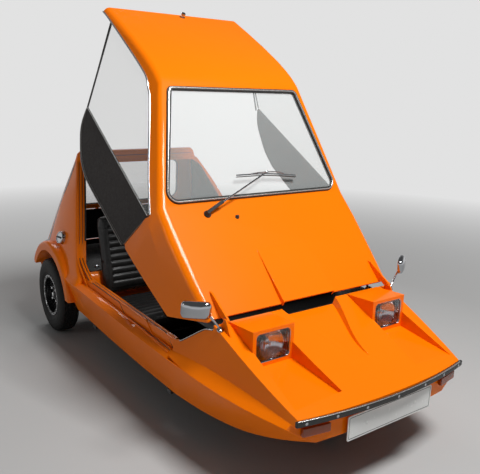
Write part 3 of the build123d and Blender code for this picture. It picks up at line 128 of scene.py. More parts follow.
def material(name, colour, rough, slot=None, metal=0.0, coat=0.0, coat_rough=0.03, spec=0.5, mottle=0.12,
             patch=9, uneven=0.06, grain=0.0, grit=900, alpha=1.0, clear=0.0, ior=1.5):
    """A finish. mottle varies its colour, uneven its roughness and grain its bump, at the scales patch and grit."""
    made, tree_nodes, links, shader = node_tree(name)
    coordinates = tree_nodes.new("ShaderNodeTexCoord")
    slow = noise(tree_nodes, links, coordinates, patch)
    mix = tree_nodes.new("ShaderNodeMix")
    mix.data_type = "RGBA"
    dark = [channel * (1 - mottle) for channel in colour[:3]] + [1]
    light = [min(1, channel * (1 + mottle * 0.5)) for channel in colour[:3]] + [1]
    mix.inputs["A"].default_value = dark
    mix.inputs["B"].default_value = light
    links.new(slow.outputs["Fac"], mix.inputs["Factor"])
    links.new(mix.outputs["Result"], shader.inputs["Base Color"])
    fine = noise(tree_nodes, links, coordinates, grit, 3)
    wear = noise(tree_nodes, links, coordinates, patch * 5, 5)
    low, high = max(0.02, rough - uneven), rough + uneven
    spread = ramp(tree_nodes, links, wear.outputs["Fac"], 0.3, 0.7, low, high)
    links.new(spread, shader.inputs["Roughness"])
    if grain:
        bump = tree_nodes.new("ShaderNodeBump")
        bump.inputs["Strength"].default_value = grain
        bump.inputs["Distance"].default_value = 0.001
        links.new(fine.outputs["Fac"], bump.inputs["Height"])
        links.new(bump.outputs["Normal"], shader.inputs["Normal"])
    for socket, value in (("Metallic", metal), ("Specular IOR Level", spec), ("Coat Weight", coat), ("IOR", ior),
                          ("Coat Roughness", coat_rough), ("Transmission Weight", clear), ("Alpha", alpha)):
        shader.inputs[socket].default_value = value
    finishes[name], slots[name] = made, slot or name


ORANGE = (1.0, 0.200, 0.0)
material("body_orange", ORANGE, 0.38, coat=0.30, coat_rough=0.04, spec=0.06, mottle=0.03, patch=2, uneven=0.02,
         grain=0.012, grit=60)
material("glass_clear", (0.9, 0.94, 0.93), 0.03, alpha=0.16, mottle=0.03, uneven=0.01)
material("lamp_glass", (0.95, 0.97, 0.98), 0.05, alpha=0.3, mottle=0.03, uneven=0.02)
material("lamp_silver", (0.86, 0.87, 0.88), 0.12, metal=1, mottle=0.08, patch=60)
material("rubber_black", (0.018, 0.017, 0.016), 0.42, mottle=0.3, patch=30, grain=0.2, grit=1200)
material("tyre_black", (0.014, 0.0135, 0.013), 0.62, spec=0.25, mottle=0.35, patch=25, grain=0.4, grit=700)
material("wheel_black", (0.010, 0.010, 0.011), 0.26, coat=0.4, spec=0.35, mottle=0.25, grain=0.1, grit=500)
material("vinyl_black", (0.012, 0.0115, 0.011), 0.36, spec=0.35, mottle=0.25, patch=12, grain=0.5, grit=420,
         uneven=0.08)
material("skirt_vinyl", (0.012, 0.0062, 0.0045), 0.48, spec=0.14, mottle=0.3, patch=14, grain=0.4, grit=520)
material("window_sheet", (0.8, 0.82, 0.8), 0.06, alpha=0.10, mottle=0.05, uneven=0.03)
material("black_paint", (0.016, 0.016, 0.017), 0.36, coat=0.3, mottle=0.3, patch=18, grain=0.15)
material("black_plastic", (0.022, 0.022, 0.022), 0.5, mottle=0.25, patch=20, grain=0.5, grit=650)
material("chrome", (0.44, 0.45, 0.47), 0.07, metal=1, mottle=0.05, uneven=0.03)
material("steel", (0.42, 0.42, 0.43), 0.33, metal=1, mottle=0.2, patch=30, grain=0.12)
material("cast_iron", (0.10, 0.10, 0.10), 0.62, metal=0.6, mottle=0.4, patch=22, grain=0.8, grit=160)
material("plate_white", (0.82, 0.82, 0.80), 0.22, coat=0.4, mottle=0.05, grain=0.05, grit=1500)
material("lamp_orange", (0.34, 0.055, 0.006), 0.18, coat=0.3, mottle=0.2, patch=40, clear=0.15)
material("lamp_red", (0.42, 0.012, 0.010), 0.16, coat=0.6, mottle=0.2, patch=40, clear=0.15)
material("floor_mat", (0.016, 0.016, 0.016), 0.42, spec=0.35, mottle=0.3, patch=16, grain=0.3, grit=500)
material("canopy_lining", (0.012, 0.011, 0.011), 0.8, spec=0.15, mottle=0.3, patch=40, grain=0.9, grit=900)


def shade(obj, angle=30):
    """Smooth shading that keeps edges sharper than the angle."""
    for face in obj.data.polygons:
        face.use_smooth = True
    bm = bmesh.new()
    bm.from_mesh(obj.data)
    limit = radians(angle)
    for edge in bm.edges:
        edge.smooth = len(edge.link_faces) == 2 and edge.calc_face_angle(0) < limit
    bm.to_mesh(obj.data)
    bm.free()


def place(obj, body, finish):
    """Gives a new piece its finish and lets it ride."""
    obj.data.materials.clear()
    obj.data.materials.append(finishes[finish])
    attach(obj, body)
    return obj


def panel(node, bevel=0.004, segments=3, smooth=24):
    """A CAD panel as one welded mesh with rolled edges, in place of its node."""
    bm = bmesh.new()
    bm.from_mesh(nodes[node].data)
    bmesh.ops.remove_doubles(bm, verts=bm.verts, dist=2e-5)
    bmesh.ops.dissolve_limit(bm, angle_limit=radians(1), verts=bm.verts, edges=bm.edges)
    obj = new_object(node + "_panel", mesh_of(bm, node + "_panel"))
    shade(obj, smooth)
    rolled = obj.modifiers.new("rolled_edges", "BEVEL")
    rolled.width = bevel
    rolled.segments = segments
    rolled.limit_method = "ANGLE"
    rolled.angle_limit = radians(32)
    rolled.harden_normals = True
    rolled.use_clamp_overlap = True
    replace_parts(obj, node)
    return place(obj, node_body[node], node_slot[node])


for name, obj in nodes.items():
    obj.data.materials.clear()
    obj.data.materials.append(finishes[node_slot[name]])
    shade(obj, 30)

panels = {}
for name in ("nose_body", "side_sills", "tail_body", "boot_lid", "canopy_shell", "hinge_blades", "hinge_brackets"):
    panels[name] = panel(name, bevel=0.009 if name == "nose_body" else 0.004)


# Helpers for the pieces: turned and swept forms, and places read from the panels' surfaces
def mm(*values):
    """A point given in millimetres."""
    return Vector(values) * MM


def opened(points):
    """Points of the canopy as it is drawn, turned open."""
    return [OPEN @ Vector(p) for p in points]


def mesh_piece(name, points, faces, body, finish, angle=35):
    """A new piece from points in metres and faces."""
    mesh = bpy.data.meshes.new(name)
    mesh.from_pydata([tuple(p) for p in points], [], faces)
    bm = bmesh.new()
    bm.from_mesh(mesh)
    bmesh.ops.recalc_face_normals(bm, faces=bm.faces)
    bm.to_mesh(mesh)
    bm.free()
    obj = new_object(name, mesh)
    shade(obj, angle)
    return place(obj, body, finish)


def grid_faces(rows, ring, closed_rows=False, closed_ring=True, caps=()):
    """Quads between rows of points. caps names the rows that end in one face."""
    faces = []
    for row in range(rows if closed_rows else rows - 1):
        following = (row + 1) % rows
        for k in range(ring if closed_ring else ring - 1):
            m = (k + 1) % ring
            faces.append((row * ring + k, row * ring + m, following * ring + m, following * ring + k))
    return faces + [tuple(range(row * ring, (row + 1) * ring)) for row in caps]


def ellipse(across, high, count=12):
    """A round profile, given by its two half sizes in millimetres."""
    return [(across * MM * cos(2 * pi * i / count), high * MM * sin(2 * pi * i / count)) for i in range(count)]


def smooth_path(points, closed=False, share=6):
    """A path drawn smoothly through its points."""
    count = len(points)
    made = []
    for i in range(count if closed else count - 1):
        if closed:
            p0, p1, p2, p3 = (points[(i + k) % count] for k in (-1, 0, 1, 2))
        else:
            p0, p1, p2, p3 = (points[min(max(i + k, 0), count - 1)] for k in (-1, 0, 1, 2))
        for step in range(share):
            t = step / share
            made.append(0.5 * (2 * p1 + (p2 - p0) * t + (2 * p0 - 5 * p1 + 4 * p2 - p3) * t**2
                               + (3 * p1 - p0 - 3 * p2 + p3) * t**3))
    if not closed:
        made.append(points[-1].copy())
    return made


def sweep(name, path, profile, body="body", finish="chrome", closed=False, up=None):
    """A profile carried along a path. up sets the profile's second direction."""
    path = [Vector(p) for p in path]
    count = len(path)
    points = []
    lift = None
    for i, p in enumerate(path):
        ahead_of = path[(i + 1) % count] if closed or i < count - 1 else path[i]
        behind = path[i - 1] if closed or i > 0 else path[i]
        run = (ahead_of - behind).normalized()
        if up is not None:
            lift = Vector(up)
        elif lift is None:
            lift = Vector((0, 0, 1)) if abs(run.z) < 0.9 else Vector((1, 0, 0))
        lift = (lift - run * lift.dot(run)).normalized()
        out = lift.cross(run)
        points += [p + out * a + lift * b for a, b in profile]
    faces = grid_faces(count, len(profile), closed_rows=closed, caps=() if closed else (0, count - 1))
    return mesh_piece(name, points, faces, body, finish, angle=50)


def lathe(name, profile, origin, axis, body="body", finish="chrome", steps=64, ring=False):
    """A turned piece: its profile is rows of distance along the axis and radius, in millimetres. A ring's closes."""
    if ring:
        profile = profile + profile[:1]
    axis = Vector(axis).normalized()
    first = axis.cross(Vector((0, 0, 1)) if abs(axis.z) < 0.9 else Vector((1, 0, 0))).normalized()
    second = axis.cross(first)
    points = []
    for along, radius in profile:
        for i in range(steps):
            turn = 2 * pi * i / steps
            points.append(origin + axis * along * MM + (first * cos(turn) + second * sin(turn)) * max(radius, TIP) * MM)
    caps = [row for row in (0, len(profile) - 1) if profile[row][1] > TIP and not ring]
    made = mesh_piece(name, points, grid_faces(len(profile), steps, caps=caps), body, finish)
    bm = bmesh.new()
    bm.from_mesh(made.data)
    bmesh.ops.remove_doubles(bm, verts=bm.verts, dist=1e-6)
    bm.to_mesh(made.data)
    bm.free()
    return made


def on_canopy(name, path, profile, finish="chrome", up=None, closed=False, curved=True):
    """A sweep on the canopy, along a path as the canopy is drawn."""
    return sweep(name, opened(smooth_path(path) if curved else path), profile, "canopy", finish, closed, up)


def joined(name, pieces_of, body="body", finish="chrome"):
    """One piece out of several meshes that were made for it."""
    bm = bmesh.new()
    for piece in pieces_of:
        bm.from_mesh(piece.data)
    for piece in pieces_of:
        bpy.data.objects.remove(piece)
    obj = new_object(name, mesh_of(bm, name))
    shade(obj, 40)
    return place(obj, body, finish)


def rounded(corners, radii, count=8):
    """A closed outline of corners in two directions, each rounded by its radius."""
    made = []
    total = len(corners)
    for i, corner in enumerate(corners):
        here = Vector(corner)
        before = (Vector(corners[i - 1]) - here).normalized()
        after = (Vector(corners[(i + 1) % total]) - here).normalized()
        half = before.angle(after) / 2
        reach = radii[i] / max(1e-6, abs(sin(half) / cos(half)))
        centre = here + (before + after).normalized() * radii[i] / sin(half)
        start = here + before * reach - centre
        end = here + after * reach - centre
        turn = start.angle_signed(end)
        for step in range(count + 1):
            made.append(centre + Matrix.Rotation(-turn * step / count, 2) @ start)
    return made


def tree_of(obj):
    """A search tree over a piece's surface."""
    bm = bmesh.new()
    bm.from_mesh(obj.data)
    made = BVHTree.FromBMesh(bm)
    bm.free()
    return made


trees = {name: tree_of(nodes[name]) for name in ("nose_body", "side_sills", "tail_body")}


def surface(name, start, way, fallback):
    """Where a body's surface is first met from a place, and the way it faces there."""
    hit, normal, _, _ = trees[name].ray_cast(start, Vector(way))
    return (fallback, -Vector(way)) if hit is None else (hit, normal)


def side_point(name, side, y, z, fallback=600):
    """The point of a body's outer flank at a height and a distance along the car, and the way it faces."""
    return surface(name, mm(side * 900, y, z), (-side, 0, 0), mm(side * fallback, y, z))


# The canopy's inner faces carry a dark lining
shell = panels["canopy_shell"]
shell.data.materials.append(finishes["canopy_lining"])
back_to_drawn = OPEN.inverted()
for face in shell.data.polygons:
    centre = back_to_drawn @ face.center
    normal = TURN.inverted() @ face.normal
    middle = Vector((0, centre.y, 0.30 if centre.y < -0.2 else 0.55))
    if normal.dot(centre - middle) < -0.02:
        face.material_index = 1

# Behind the seats and inside the wells, the tail's and the lid's faces that look onto another wall take the dark lining
# finish as painted shade
tail_panel, lid_panel = panels["tail_body"], panels["boot_lid"]
inside_of = [tree_of(piece) for piece in (tail_panel, lid_panel, nodes["rear_window"])]
for piece in (tail_panel, lid_panel):
    piece.data.materials.append(finishes["canopy_lining"])
    for face in piece.data.polygons:
        start = face.center + face.normal * 0.002
        hits = [found[3] for found in (search.ray_cast(start, face.normal, 1.6) for search in inside_of) if found[3]]
        # painted shade: a face whose ray meets a wall more than 25 cm off counts as inside and gets the lining
        if hits and max(hits) > 0.25:
            face.material_index = 1

# Canopy rows as they are drawn: y, lower x, waist x, waist z, corner x, corner z
canopy_rows = [
    (-805, 612, 586, 545, 564, 645), (-632, 632, 606, 570, 583, 690), (-400, 648, 622, 630, 598, 751),
    (-235, 656, 629, 700, 590, 795), (0, 664, 622, 741, 526, 955), (296, 664, 613, 741, 446, 1158),
    (330, 664, 612, 741, 446, 1167), (370, 664, 611, 741, 446, 1175), (430, 664, 609, 741, 446, 1182),
    (520, 664, 606, 741, 446, 1187), (700, 664, 601, 741, 446, 1186), (880, 664, 595, 741, 446, 1179),
    (1058, 664, 590, 741, 446, 1168),
]


def canopy_x(y, z):
    """The canopy's half width as it is drawn."""
    for row, following in zip(canopy_rows, canopy_rows[1:]):
        if y <= following[0] or following is canopy_rows[-1]:
            share = min(max((y - row[0]) / (following[0] - row[0]), 0), 1)
            _, low_x, waist_x, waist_z, corner_x, corner_z = (a + share * (b - a) for a, b in zip(row, following))
            if z < waist_z:
                return low_x + (waist_x - low_x) * (z - 440) / (waist_z - 440)
            return waist_x + (corner_x - waist_x) * (z - waist_z) / (corner_z - waist_z)


side_edge = [(-210, 738), (-60, 832), (144, 972), (284, 1067), (338, 1095), (384, 1118), (450, 1129), (620, 1138),
             (960, 1144), (1056, 1141)]
material("bright_trim", (0.66, 0.66, 0.64), 0.25, "chrome", metal=0.9, mottle=0.08, patch=40)
material("brown_trim", (0.16, 0.07, 0.03), 0.5, "skirt_vinyl", mottle=0.3, patch=30, grain=0.3)
material("grey_piping", (0.20, 0.19, 0.18), 0.45, "skirt_vinyl", mottle=0.2, patch=50, grain=0.2)
for side, hand in SIDES:
    path = [mm(side * (canopy_x(y, z) + 1.0), y, z - 0.5) for y, z in side_edge]
    on_canopy(f"roof_edge_trim_{hand}", path, ellipse(5.5, 4), "bright_trim")
    path = [mm(side * (canopy_x(y, z) + 0.6), y, z) for y, z in ((-125, 470), (-140, 520), (-172, 620), (-209, 732))]
    on_canopy(f"side_panel_trim_{hand}", path, ellipse(4, 3.2), "brown_trim", curved=False)

# Windscreen: a bright bead in the rubber, drawn in the screen's own plane
panel("windscreen_seal", bevel=0.0055, segments=4)
angle = atan2(363, 531)
screen_across, screen_up = Vector((1, 0, 0)), Vector((0, cos(angle), sin(angle)))
screen_out = Vector((0, -sin(angle), cos(angle)))
screen_length = sqrt(531**2 + 363**2) - 26


def screen_path(inset, rise):
    """The windscreen's outline, drawn in by an inset and raised from its plane."""
    corners = [(-556 + inset, 12 + inset), (556 - inset, 12 + inset),
               (414 - inset, screen_length - inset), (-414 + inset, screen_length - inset)]
    outline = rounded(corners, [62 - inset, 62 - inset, 36 - inset, 36 - inset])
    return [mm(0, -235, 795) + (screen_across * x + screen_up * s + screen_out * rise) * MM for x, s in outline]


out_now = TURN @ screen_out
on_canopy("windscreen_bead", screen_path(10, 8.2), ellipse(4.2, 2.6), "bright_trim", out_now, True, curved=False)
on_canopy("windscreen_lip", screen_path(18.5, 5.0), ellipse(3.2, 4.0), "rubber_black", out_now, True, curved=False)


def slope_z(y):
    """Height of the canopy's front slope as it is drawn."""
    return 645 + (y + 805) * (795 - 645) / (-235 + 805)


# Wiper, washer nozzle and the roof's catch knob
def stand(name, profile, at, way, finish, steps):
    """A turned piece on the canopy, where the canopy is drawn."""
    lathe(name, profile, OPEN @ mm(*at), way, "canopy", finish, steps)


slope_now = TURN @ Vector((0, -0.2545, 0.967))
roof_now = TURN @ Vector((0, 0.06, 0.998))
arm_joint = (56, -142, 896)
cover = [(0, 19), (5, 19), (9, 14), (17, 13), (22, 9), (23, 0)]
stand("wiper_pivot_cover", cover, (-352, -292, slope_z(-292) + 0.3), slope_now, "black_plastic", 64)
arm = [mm(-352, -296, 800), mm(-240, -256, 832), mm(-60, -186, 870), mm(*arm_joint)]
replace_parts(on_canopy("wiper_arm", arm, ellipse(4.5, 3.2), up=out_now), "wiper")
head = [mm(-362, -300, 798), mm(-320, -284, 811), mm(-262, -262, 827)]
head_profile = [(x * MM, z * MM) for x, z in ((-9, -5), (9, -5), (9, 3), (6, 7), (-6, 7), (-9, 3))]
on_canopy("wiper_arm_head", head, head_profile, "black_plastic", out_now, curved=False)
blade = [(-139, -146, 892), (56, -146, 889), (251, -160, 876)]
on_canopy("wiper_blade", [mm(*point) for point in blade], ellipse(3.6, 2.4), up=out_now)
yoke = [mm(-60, -148, 893), mm(0, -145, 899), mm(112, -146, 898), mm(172, -152, 886)]
on_canopy("wiper_yoke", yoke, ellipse(3.0, 3.0), up=out_now)
stand("wiper_joint", [(-6, 6), (0, 8), (5, 8), (7, 5), (7.5, 0)], arm_joint, out_now, "chrome", 24)
rubber = [mm(x, y - 6, z - 7) for x, y, z in blade]
on_canopy("wiper_rubber", rubber, ellipse(1.8, 7.0), "rubber_black", out_now)
nozzle = [(0, 11), (3, 11), (5, 8), (11, 6.5), (14, 4), (15, 0)]
stand("washer_nozzle", nozzle, (-191, -325, slope_z(-325) + 0.3), slope_now, "black_plastic", 24)
knob = [(0, 15), (3, 15), (4, 8), (13, 7.5), (16, 13), (24, 14), (29, 10), (31, 0)]
stand("roof_catch_knob", knob, (30, 1022, 1171.2), roof_now, "chrome", 40)

# Sidescreens: skirts with piping and a light upper line, and the clear sheets' hems
panel("sidescreen_skirts", bevel=0.0015, smooth=30)
skirt_line = [(-105, 446), (385, 452), (472, 465), (555, 496), (634, 557), (681, 602), (707, 650), (721, 718)]


def lean_x(y, z, sides, low_z, high_z):
    """The outer face of a leaning sheet."""
    (y0, low0, high0), (y1, low1, high1) = sides
    share = (y - y0) / (y1 - y0)
    low, high = low0 + share * (low1 - low0), high0 + share * (high1 - high0)
    return low + (high - low) * (z - low_z) / (high_z - low_z)


skirt_sides = [(-300, 657, 627), (740, 672, 598)]
sheet_sides = [(-300, 624, 460), (1060, 588, 447)]
seam_steps = [(0, 13), (0, 13), (-4, 13), (-8, 11), (-10, 8), (-12, 6), (-13, 2), (-13, 0)]
seam_line = [(y + dy, z + dz) for (y, z), (dy, dz) in zip(skirt_line, seam_steps)]
top_line = [(y, 731) for y in (-206, 0, 240, 480, 716)]
for side, hand in SIDES:
    for name, line, out, profile, finish in (
            ("skirt_piping", skirt_line, -1.5, ellipse(3.6, 3.6), "grey_piping"),
            ("skirt_seam", seam_line, 0.7, ellipse(0.9, 0.9, 6), "grey_piping"),
            ("skirt_top_line", top_line, 1.0, ellipse(2.4, 3.4), "bright_trim")):
        path = [mm(side * (lean_x(y, z, skirt_sides, 440, 733) + out), y, z) for y, z in line]
        on_canopy(f"{name}_{hand}", path, profile, finish)
    path = [mm(side * (lean_x(y, z, sheet_sides, 733, 1160) + 0.6), y, z)
            for y, z in ((719, 736), (830, 936), (938, 1138))]
    on_canopy(f"sheet_rear_hem_{hand}", path, ellipse(1.2, 6.5), "skirt_vinyl", TURN @ Vector((0, 0.88, -0.47)))

# Tyres: grooved tread, shoulder blocks and raised rings on the sidewalls
half_tread = [(44.0, 128.6), (50.5, 136.0), (58.0, 150.0), (61.5, 160.0), (64.0, 164.0), (64.6, 168.0),
              (66.9, 186.0), (67.5, 195.0), (66.8, 206.0), (65.6, 212.0), (65.9, 214.0), (63.8, 222.0),
              (60.2, 232.0), (56.5, 240.0), (50.0, 246.6), (43.0, 250.0), (38.6, 250.5), (37.6, 244.5),
              (33.2, 244.5), (32.2, 250.8), (20.6, 251.4), (19.6, 245.0), (15.2, 245.0), (14.2, 251.7),
              (2.6, 251.95), (1.8, 245.5)]
tyre_profile = half_tread + [(-x, r) for x, r in reversed(half_tread)]
tyre_profile += [(-40.0, 128.6), (-48.0, 170.0), (-42.0, 222.0), (0.0, 236.0),
                 (42.0, 222.0), (48.0, 170.0), (40.0, 128.6)]
wheel_rows = [("front", mm(0, -902, 252), -1, "front_wheel"),
              ("rear_left", mm(628, 1054, 252), 1, "rear_left_wheel"),
              ("rear_right", mm(-628, 1054, 252), -1, "rear_right_wheel")]


def tyre_piece(name, centre, body, node, steps=216):
    """A tyre turned about its axle, with cuts across its blocks."""
    points = []
    for i in range(steps):
        turn = 2 * pi * i / steps
        phase = i % 6
        for x, r in tyre_profile:
            cut = 0
            if r > 250.2 and abs(x) > 14 and phase == (0 if x > 0 else 3):
                cut = 5.0
            elif 240 <= r <= 250.2 and 40 < abs(x) < 58 and phase in (0, 1):
                cut = 2.6
            elif r > 251.6 and abs(x) <= 14.3 and phase == 2:
                cut = 4.0
            points.append(centre + mm(x, (r - cut) * cos(turn), (r - cut) * sin(turn)))
    faces = grid_faces(steps, len(tyre_profile), closed_rows=True)
    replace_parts(mesh_piece(name, points, faces, body, "tyre_black", angle=42), node)


material("polished_lip", (0.72, 0.72, 0.73), 0.16, "steel", metal=1, mottle=0.1, patch=30, grain=0.05)
for name, centre, side, body in wheel_rows:
    tyre_piece(f"{name}_tyre_treaded", centre, body, f"{name}_tyre")
    lip = [(55.6, 139.3), (57.2, 139.0), (57.6, 137.6), (57.4, 135.6), (56.4, 134.8), (55.8, 135.6)]
    lathe(f"{name}_rim_lip", lip, centre, (side, 0, 0), body, "polished_lip", steps=96, ring=True)
    studs = []
    for label, count, out, radius, profile, steps in (
            ("stud", 16, 55.2, 130, [(-4, 4.6), (0.8, 4.6), (2.0, 3.4), (2.6, 0)], 12),
            ("nut", 4, 18.4, 52, [(0, 12), (3, 12), (4, 9.2), (15, 9.2), (18, 6), (18.6, 0)], 6)):
        for i in range(count):
            turn = 2 * pi * (i + 0.5) / count
            at = centre + mm(side * out, radius * cos(turn), radius * sin(turn))
            studs.append(lathe(f"{label}_{i}", profile, at, (side, 0, 0), body, "polished_lip", steps))
    joined(f"{name}_rim_studs", studs, body, "polished_lip")
    cap = [(20, 34), (24.6, 34), (27, 31), (29, 26), (33, 24), (38, 16), (40, 0)]
    lathe(f"{name}_hub_cap", cap, centre, (side, 0, 0), body, "wheel_black", 48)
    button = [(38, 15), (41, 15), (44, 11), (45, 0)]
    lathe(f"{name}_hub_button", button, centre, (side, 0, 0), body, "polished_lip", 32)
    valve = [(0, 4), (16, 3.4), (17, 2.6), (22, 2.4), (22.5, 0)]
    lathe(f"{name}_valve", valve, centre + mm(side * 27, 0, 112.0), (side, 0, 0.12), body, "rubber_black", 12)

# Headlamps: fluted lenses in chrome rims, with a bulb shield behind
material("fluted_lens", (0.98, 0.99, 1.0), 0.02, "lamp_glass", clear=1.0, ior=1.45, mottle=0.01, uneven=0.01)
for side, hand in SIDES:
    mid_x, mid_z, half_x, half_z = side * 362, 580, 93.5, 67.5
    columns, rows = 96, 28
    points = []
    for j in range(rows + 1):
        for i in range(columns + 1):
            u, v = 2 * i / columns - 1, 2 * j / rows - 1
            corner = 1 - 0.055 * (u * v) ** 6
            flute = 0.9 * abs(sin(pi * i / 8)) * (1 - abs(u) ** 12)
            crown = 5.0 * (1 - u**4) * (1 - v**4)
            points.append(mm(mid_x + u * half_x * corner, -990.0 - crown - flute, mid_z + v * half_z * corner))
    faces = grid_faces(rows + 1, columns + 1, closed_ring=False)
    lens = mesh_piece(f"headlamp_lens_{hand}", points, faces, "body", "fluted_lens", angle=60)
    lens.modifiers.new("thickness", "SOLIDIFY").thickness = 0.004
    if side > 0:
        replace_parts(lens, "headlamp_lenses")
    frame_line = rounded([(-half_x, -half_z), (half_x, -half_z), (half_x, half_z), (-half_x, half_z)], [22] * 4)
    path = [mm(mid_x + x, -992.5, mid_z + z) for x, z in frame_line]
    sweep(f"headlamp_rim_{hand}", path, ellipse(4.2, 3.4), "body", "chrome", closed=True, up=(0, -1, 0))
    bowl = [(0, 8), (6, 26), (14, 40), (26, 54), (38, 63), (39, 64.2), (38.4, 65), (24, 56), (12, 43), (2, 24), (-2, 0)]
    bulb = [(0, 13), (8, 13), (10, 7), (26, 7), (30, 4.5), (31, 0)]
    for label, profile, steps in (("bowl", bowl, 64), ("bulb", bulb, 24)):
        lathe(f"headlamp_{label}_{hand}", profile, mm(mid_x, -943, mid_z), (0, -1, 0), steps=steps)

# The smaller CAD pieces as panels too, each with the bevel of its own edges
for node, bevel in (("front_indicators", 0.004), ("tail_lamps", 0.004), ("front_plate", 0.0012), ("bumpers", 0.004),
                    ("fuel_cap", 0.004), ("dashboard", 0.014), ("engine_cover", 0.006), ("hand_levers", 0.002),
                    ("pedals", 0.002), ("seat_bases", 0.002), ("lid_hinges", 0.001), ("steering_column", 0.002),
                    ("rear_shelf", 0.004)):
    panel(node, bevel, 4, 38)

# The nose's lower flanks, which carry its skin from the crease down to the line of the sills' foot
# columns: y, crease x and z, foot x and z
flank_rows = [(-1420, 484, 372, 350, 330), (-1200, 563, 393, 450, 262), (-1000, 606, 400, 516, 224),
              (-780, 633, 408, 567, 215), (-560.4, 653, 417, 600, 219)]
SILL_FRONT, NOSE_FRONT, NOSE_BOW = -0.5604, -1.3605, 2.4  # metres: two places along the car and the nose's radius
for side, hand in SIDES:
    creases = smooth_path([mm(side * x, y, z) for y, x, z, _, _ in flank_rows])
    feet = smooth_path([mm(side * x, y, z) for y, _, _, x, z in flank_rows])
    columns = []
    for crease, foot in zip(creases, feet):
        fade = min(1, max(0, (SILL_FRONT - crease.y) / 0.2))
        column = []
        for part in (0, 0.12, 0.25, 0.4, 0.55, 0.7, 0.84, 0.94, 1):
            point = crease.lerp(foot, part)
            skin_at, _ = side_point("nose_body", side, point.y / MM, point.z / MM, fallback=0)
            reach = abs(point.x) + 4 * part * (1 - part) * 0.009 * fade
            if abs(abs(skin_at.x) - reach) < 0.02:
                reach = max(reach, abs(skin_at.x) + 0.0006)
            column.append(Vector((side * reach, point.y, point.z)))
        inner = [point - Vector((side * 0.005, 0, -0.002 if i == 8 else 0)) for i, point in enumerate(column)]
        column += inner[::-1]
        for point in column:
            point.y = max(point.y, NOSE_FRONT + NOSE_BOW - sqrt(NOSE_BOW**2 - point.x**2))
        columns += column
    count = len(column)
    faces = grid_faces(len(creases), count, caps=(0, len(creases) - 1))
    mesh_piece(f"nose_lower_flank_{hand}", columns, faces, "body", "body_orange", angle=40)

# Wing mirrors: a small foot, a bent chrome stalk and a pillow-shaped head with a rim, its glass to the rear
material("mirror_glass", (0.5, 0.52, 0.54), 0.03, "chrome", metal=1, mottle=0.02, uneven=0.01)
mirror_rows = [("right", -1, (-540, -846, 638), (-583, -834, 700), (-632, -796, 730)),
               ("left", 1, (540, -846, 638), (600, -826, 694), (638, -822, 754))]
for hand, side, foot, neck, middle in mirror_rows:
    along_head = Vector((side * 0.82, 0.56, 0.06)).normalized()
    ahead_of = Vector((0, -1, 0))
    face_out = (ahead_of - along_head * ahead_of.dot(along_head)).normalized()
    up_head = along_head.cross(face_out) * (1 if along_head.cross(face_out).z > 0 else -1)
    points = []
    outline = rounded([(-66, -39), (66, -39), (66, 39), (-66, 39)], [23] * 4)
    rows = [(0.86, -9.0), (0.965, -9.6), (1.0, -7.0), (1.0, 0.0), (0.985, 6.0), (0.93, 12.5), (0.80, 18.0),
            (0.58, 21.8), (0.30, 23.8)]
    for scale, depth in rows + [(0.83, -9.6)]:
        points += [mm(*middle) + (along_head * x * scale + up_head * z * scale + face_out * depth) * MM
                   for x, z in outline]
    glass = [points.pop() for _ in outline][::-1]
    faces = grid_faces(len(rows), len(outline), caps=(0, len(rows) - 1))
    head = mesh_piece(f"mirror_head_{hand}", points, faces, "body", "chrome", angle=50)
    mesh_piece(f"mirror_glass_{hand}", glass, [tuple(range(len(outline)))], "body", "mirror_glass")
    start, end = mm(*foot), mm(*neck)
    inner_end = mm(*middle) - along_head * 0.040 + face_out * 0.004
    stalk = smooth_path([start + mm(0, 0, 4), start * 0.55 + end * 0.45 + mm(0, 0, 3), end, inner_end])
    sweep(f"mirror_stalk_{hand}", stalk, ellipse(5, 5))
    foot_profile = [(-3, 16), (3, 16), (5, 14.5), (7, 9), (13, 8), (15, 5.4)]
    lathe(f"mirror_foot_{hand}", foot_profile, start, (0, -0.387, 0.922), steps=36)
    if side < 0:
        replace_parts(head, "wing_mirrors")

# Bumpers: a bright line above the front strip and screws on both
bow_y, bow_radius = -1397, 2400


def on_bow(x, inward):
    """A place along the car, in from the strip's bowed face, at a distance across the nose."""
    return bow_y + inward + bow_radius - sqrt(bow_radius**2 - x**2)


path = [mm(x, on_bow(x, 2.0), 431.6) for x in range(-508, 509, 32)]
sweep("bumper_bright_line", path, ellipse(3.2, 2.2), "body", "bright_trim")
path = [mm(x, on_bow(x, 0.6), 417.5) for x in range(-506, 507, 32)]
sweep("bumper_groove_bead", path, ellipse(1.0, 3.4), "body", "rubber_black")
front_head = [(0, 6.5), (1.6, 6.5), (2.8, 4.5), (3.2, 0)]
rear_head = [(0, 6.5), (0.6, 6.5), (1.0, 4.5), (1.1, 0)]
screws = [lathe(f"screw_{x}", front_head, mm(x, on_bow(x, 1.5), 417.5), (x / bow_radius, -1, 0), steps=20)
          for x in (-470, -330, -180, 0, 180, 330, 470)]
screws += [lathe(f"rear_screw_{x}", rear_head, mm(x, 1395.8, 417.5), (0, 1, 0), steps=20)
           for x in (-440, -150, 150, 440)]
joined("bumper_screws", screws)

# Number plate: a thin black line inside its edge and two capped screws, with nothing printed on it
edge_line = rounded([(-252, 283), (252, 283), (252, 378), (-252, 378)], [6] * 4)
plate_face = -1365.3
path = [mm(x, plate_face, z) for x, z in edge_line]
sweep("plate_border", path, ellipse(1.4, 0.5, 8), "body", "black_plastic", closed=True, up=(0, -1, 0))
plate_head = [(0, 8), (2.4, 8), (4, 5.5), (4.4, 0)]
screws = [lathe(f"plate_screw_{x}", plate_head, mm(x, plate_face + 0.4, 330.5), (0, -1, 0), "body", "plate_white", 24)
          for x in (-150, 150)]
joined("plate_screws", screws, "body", "plate_white")
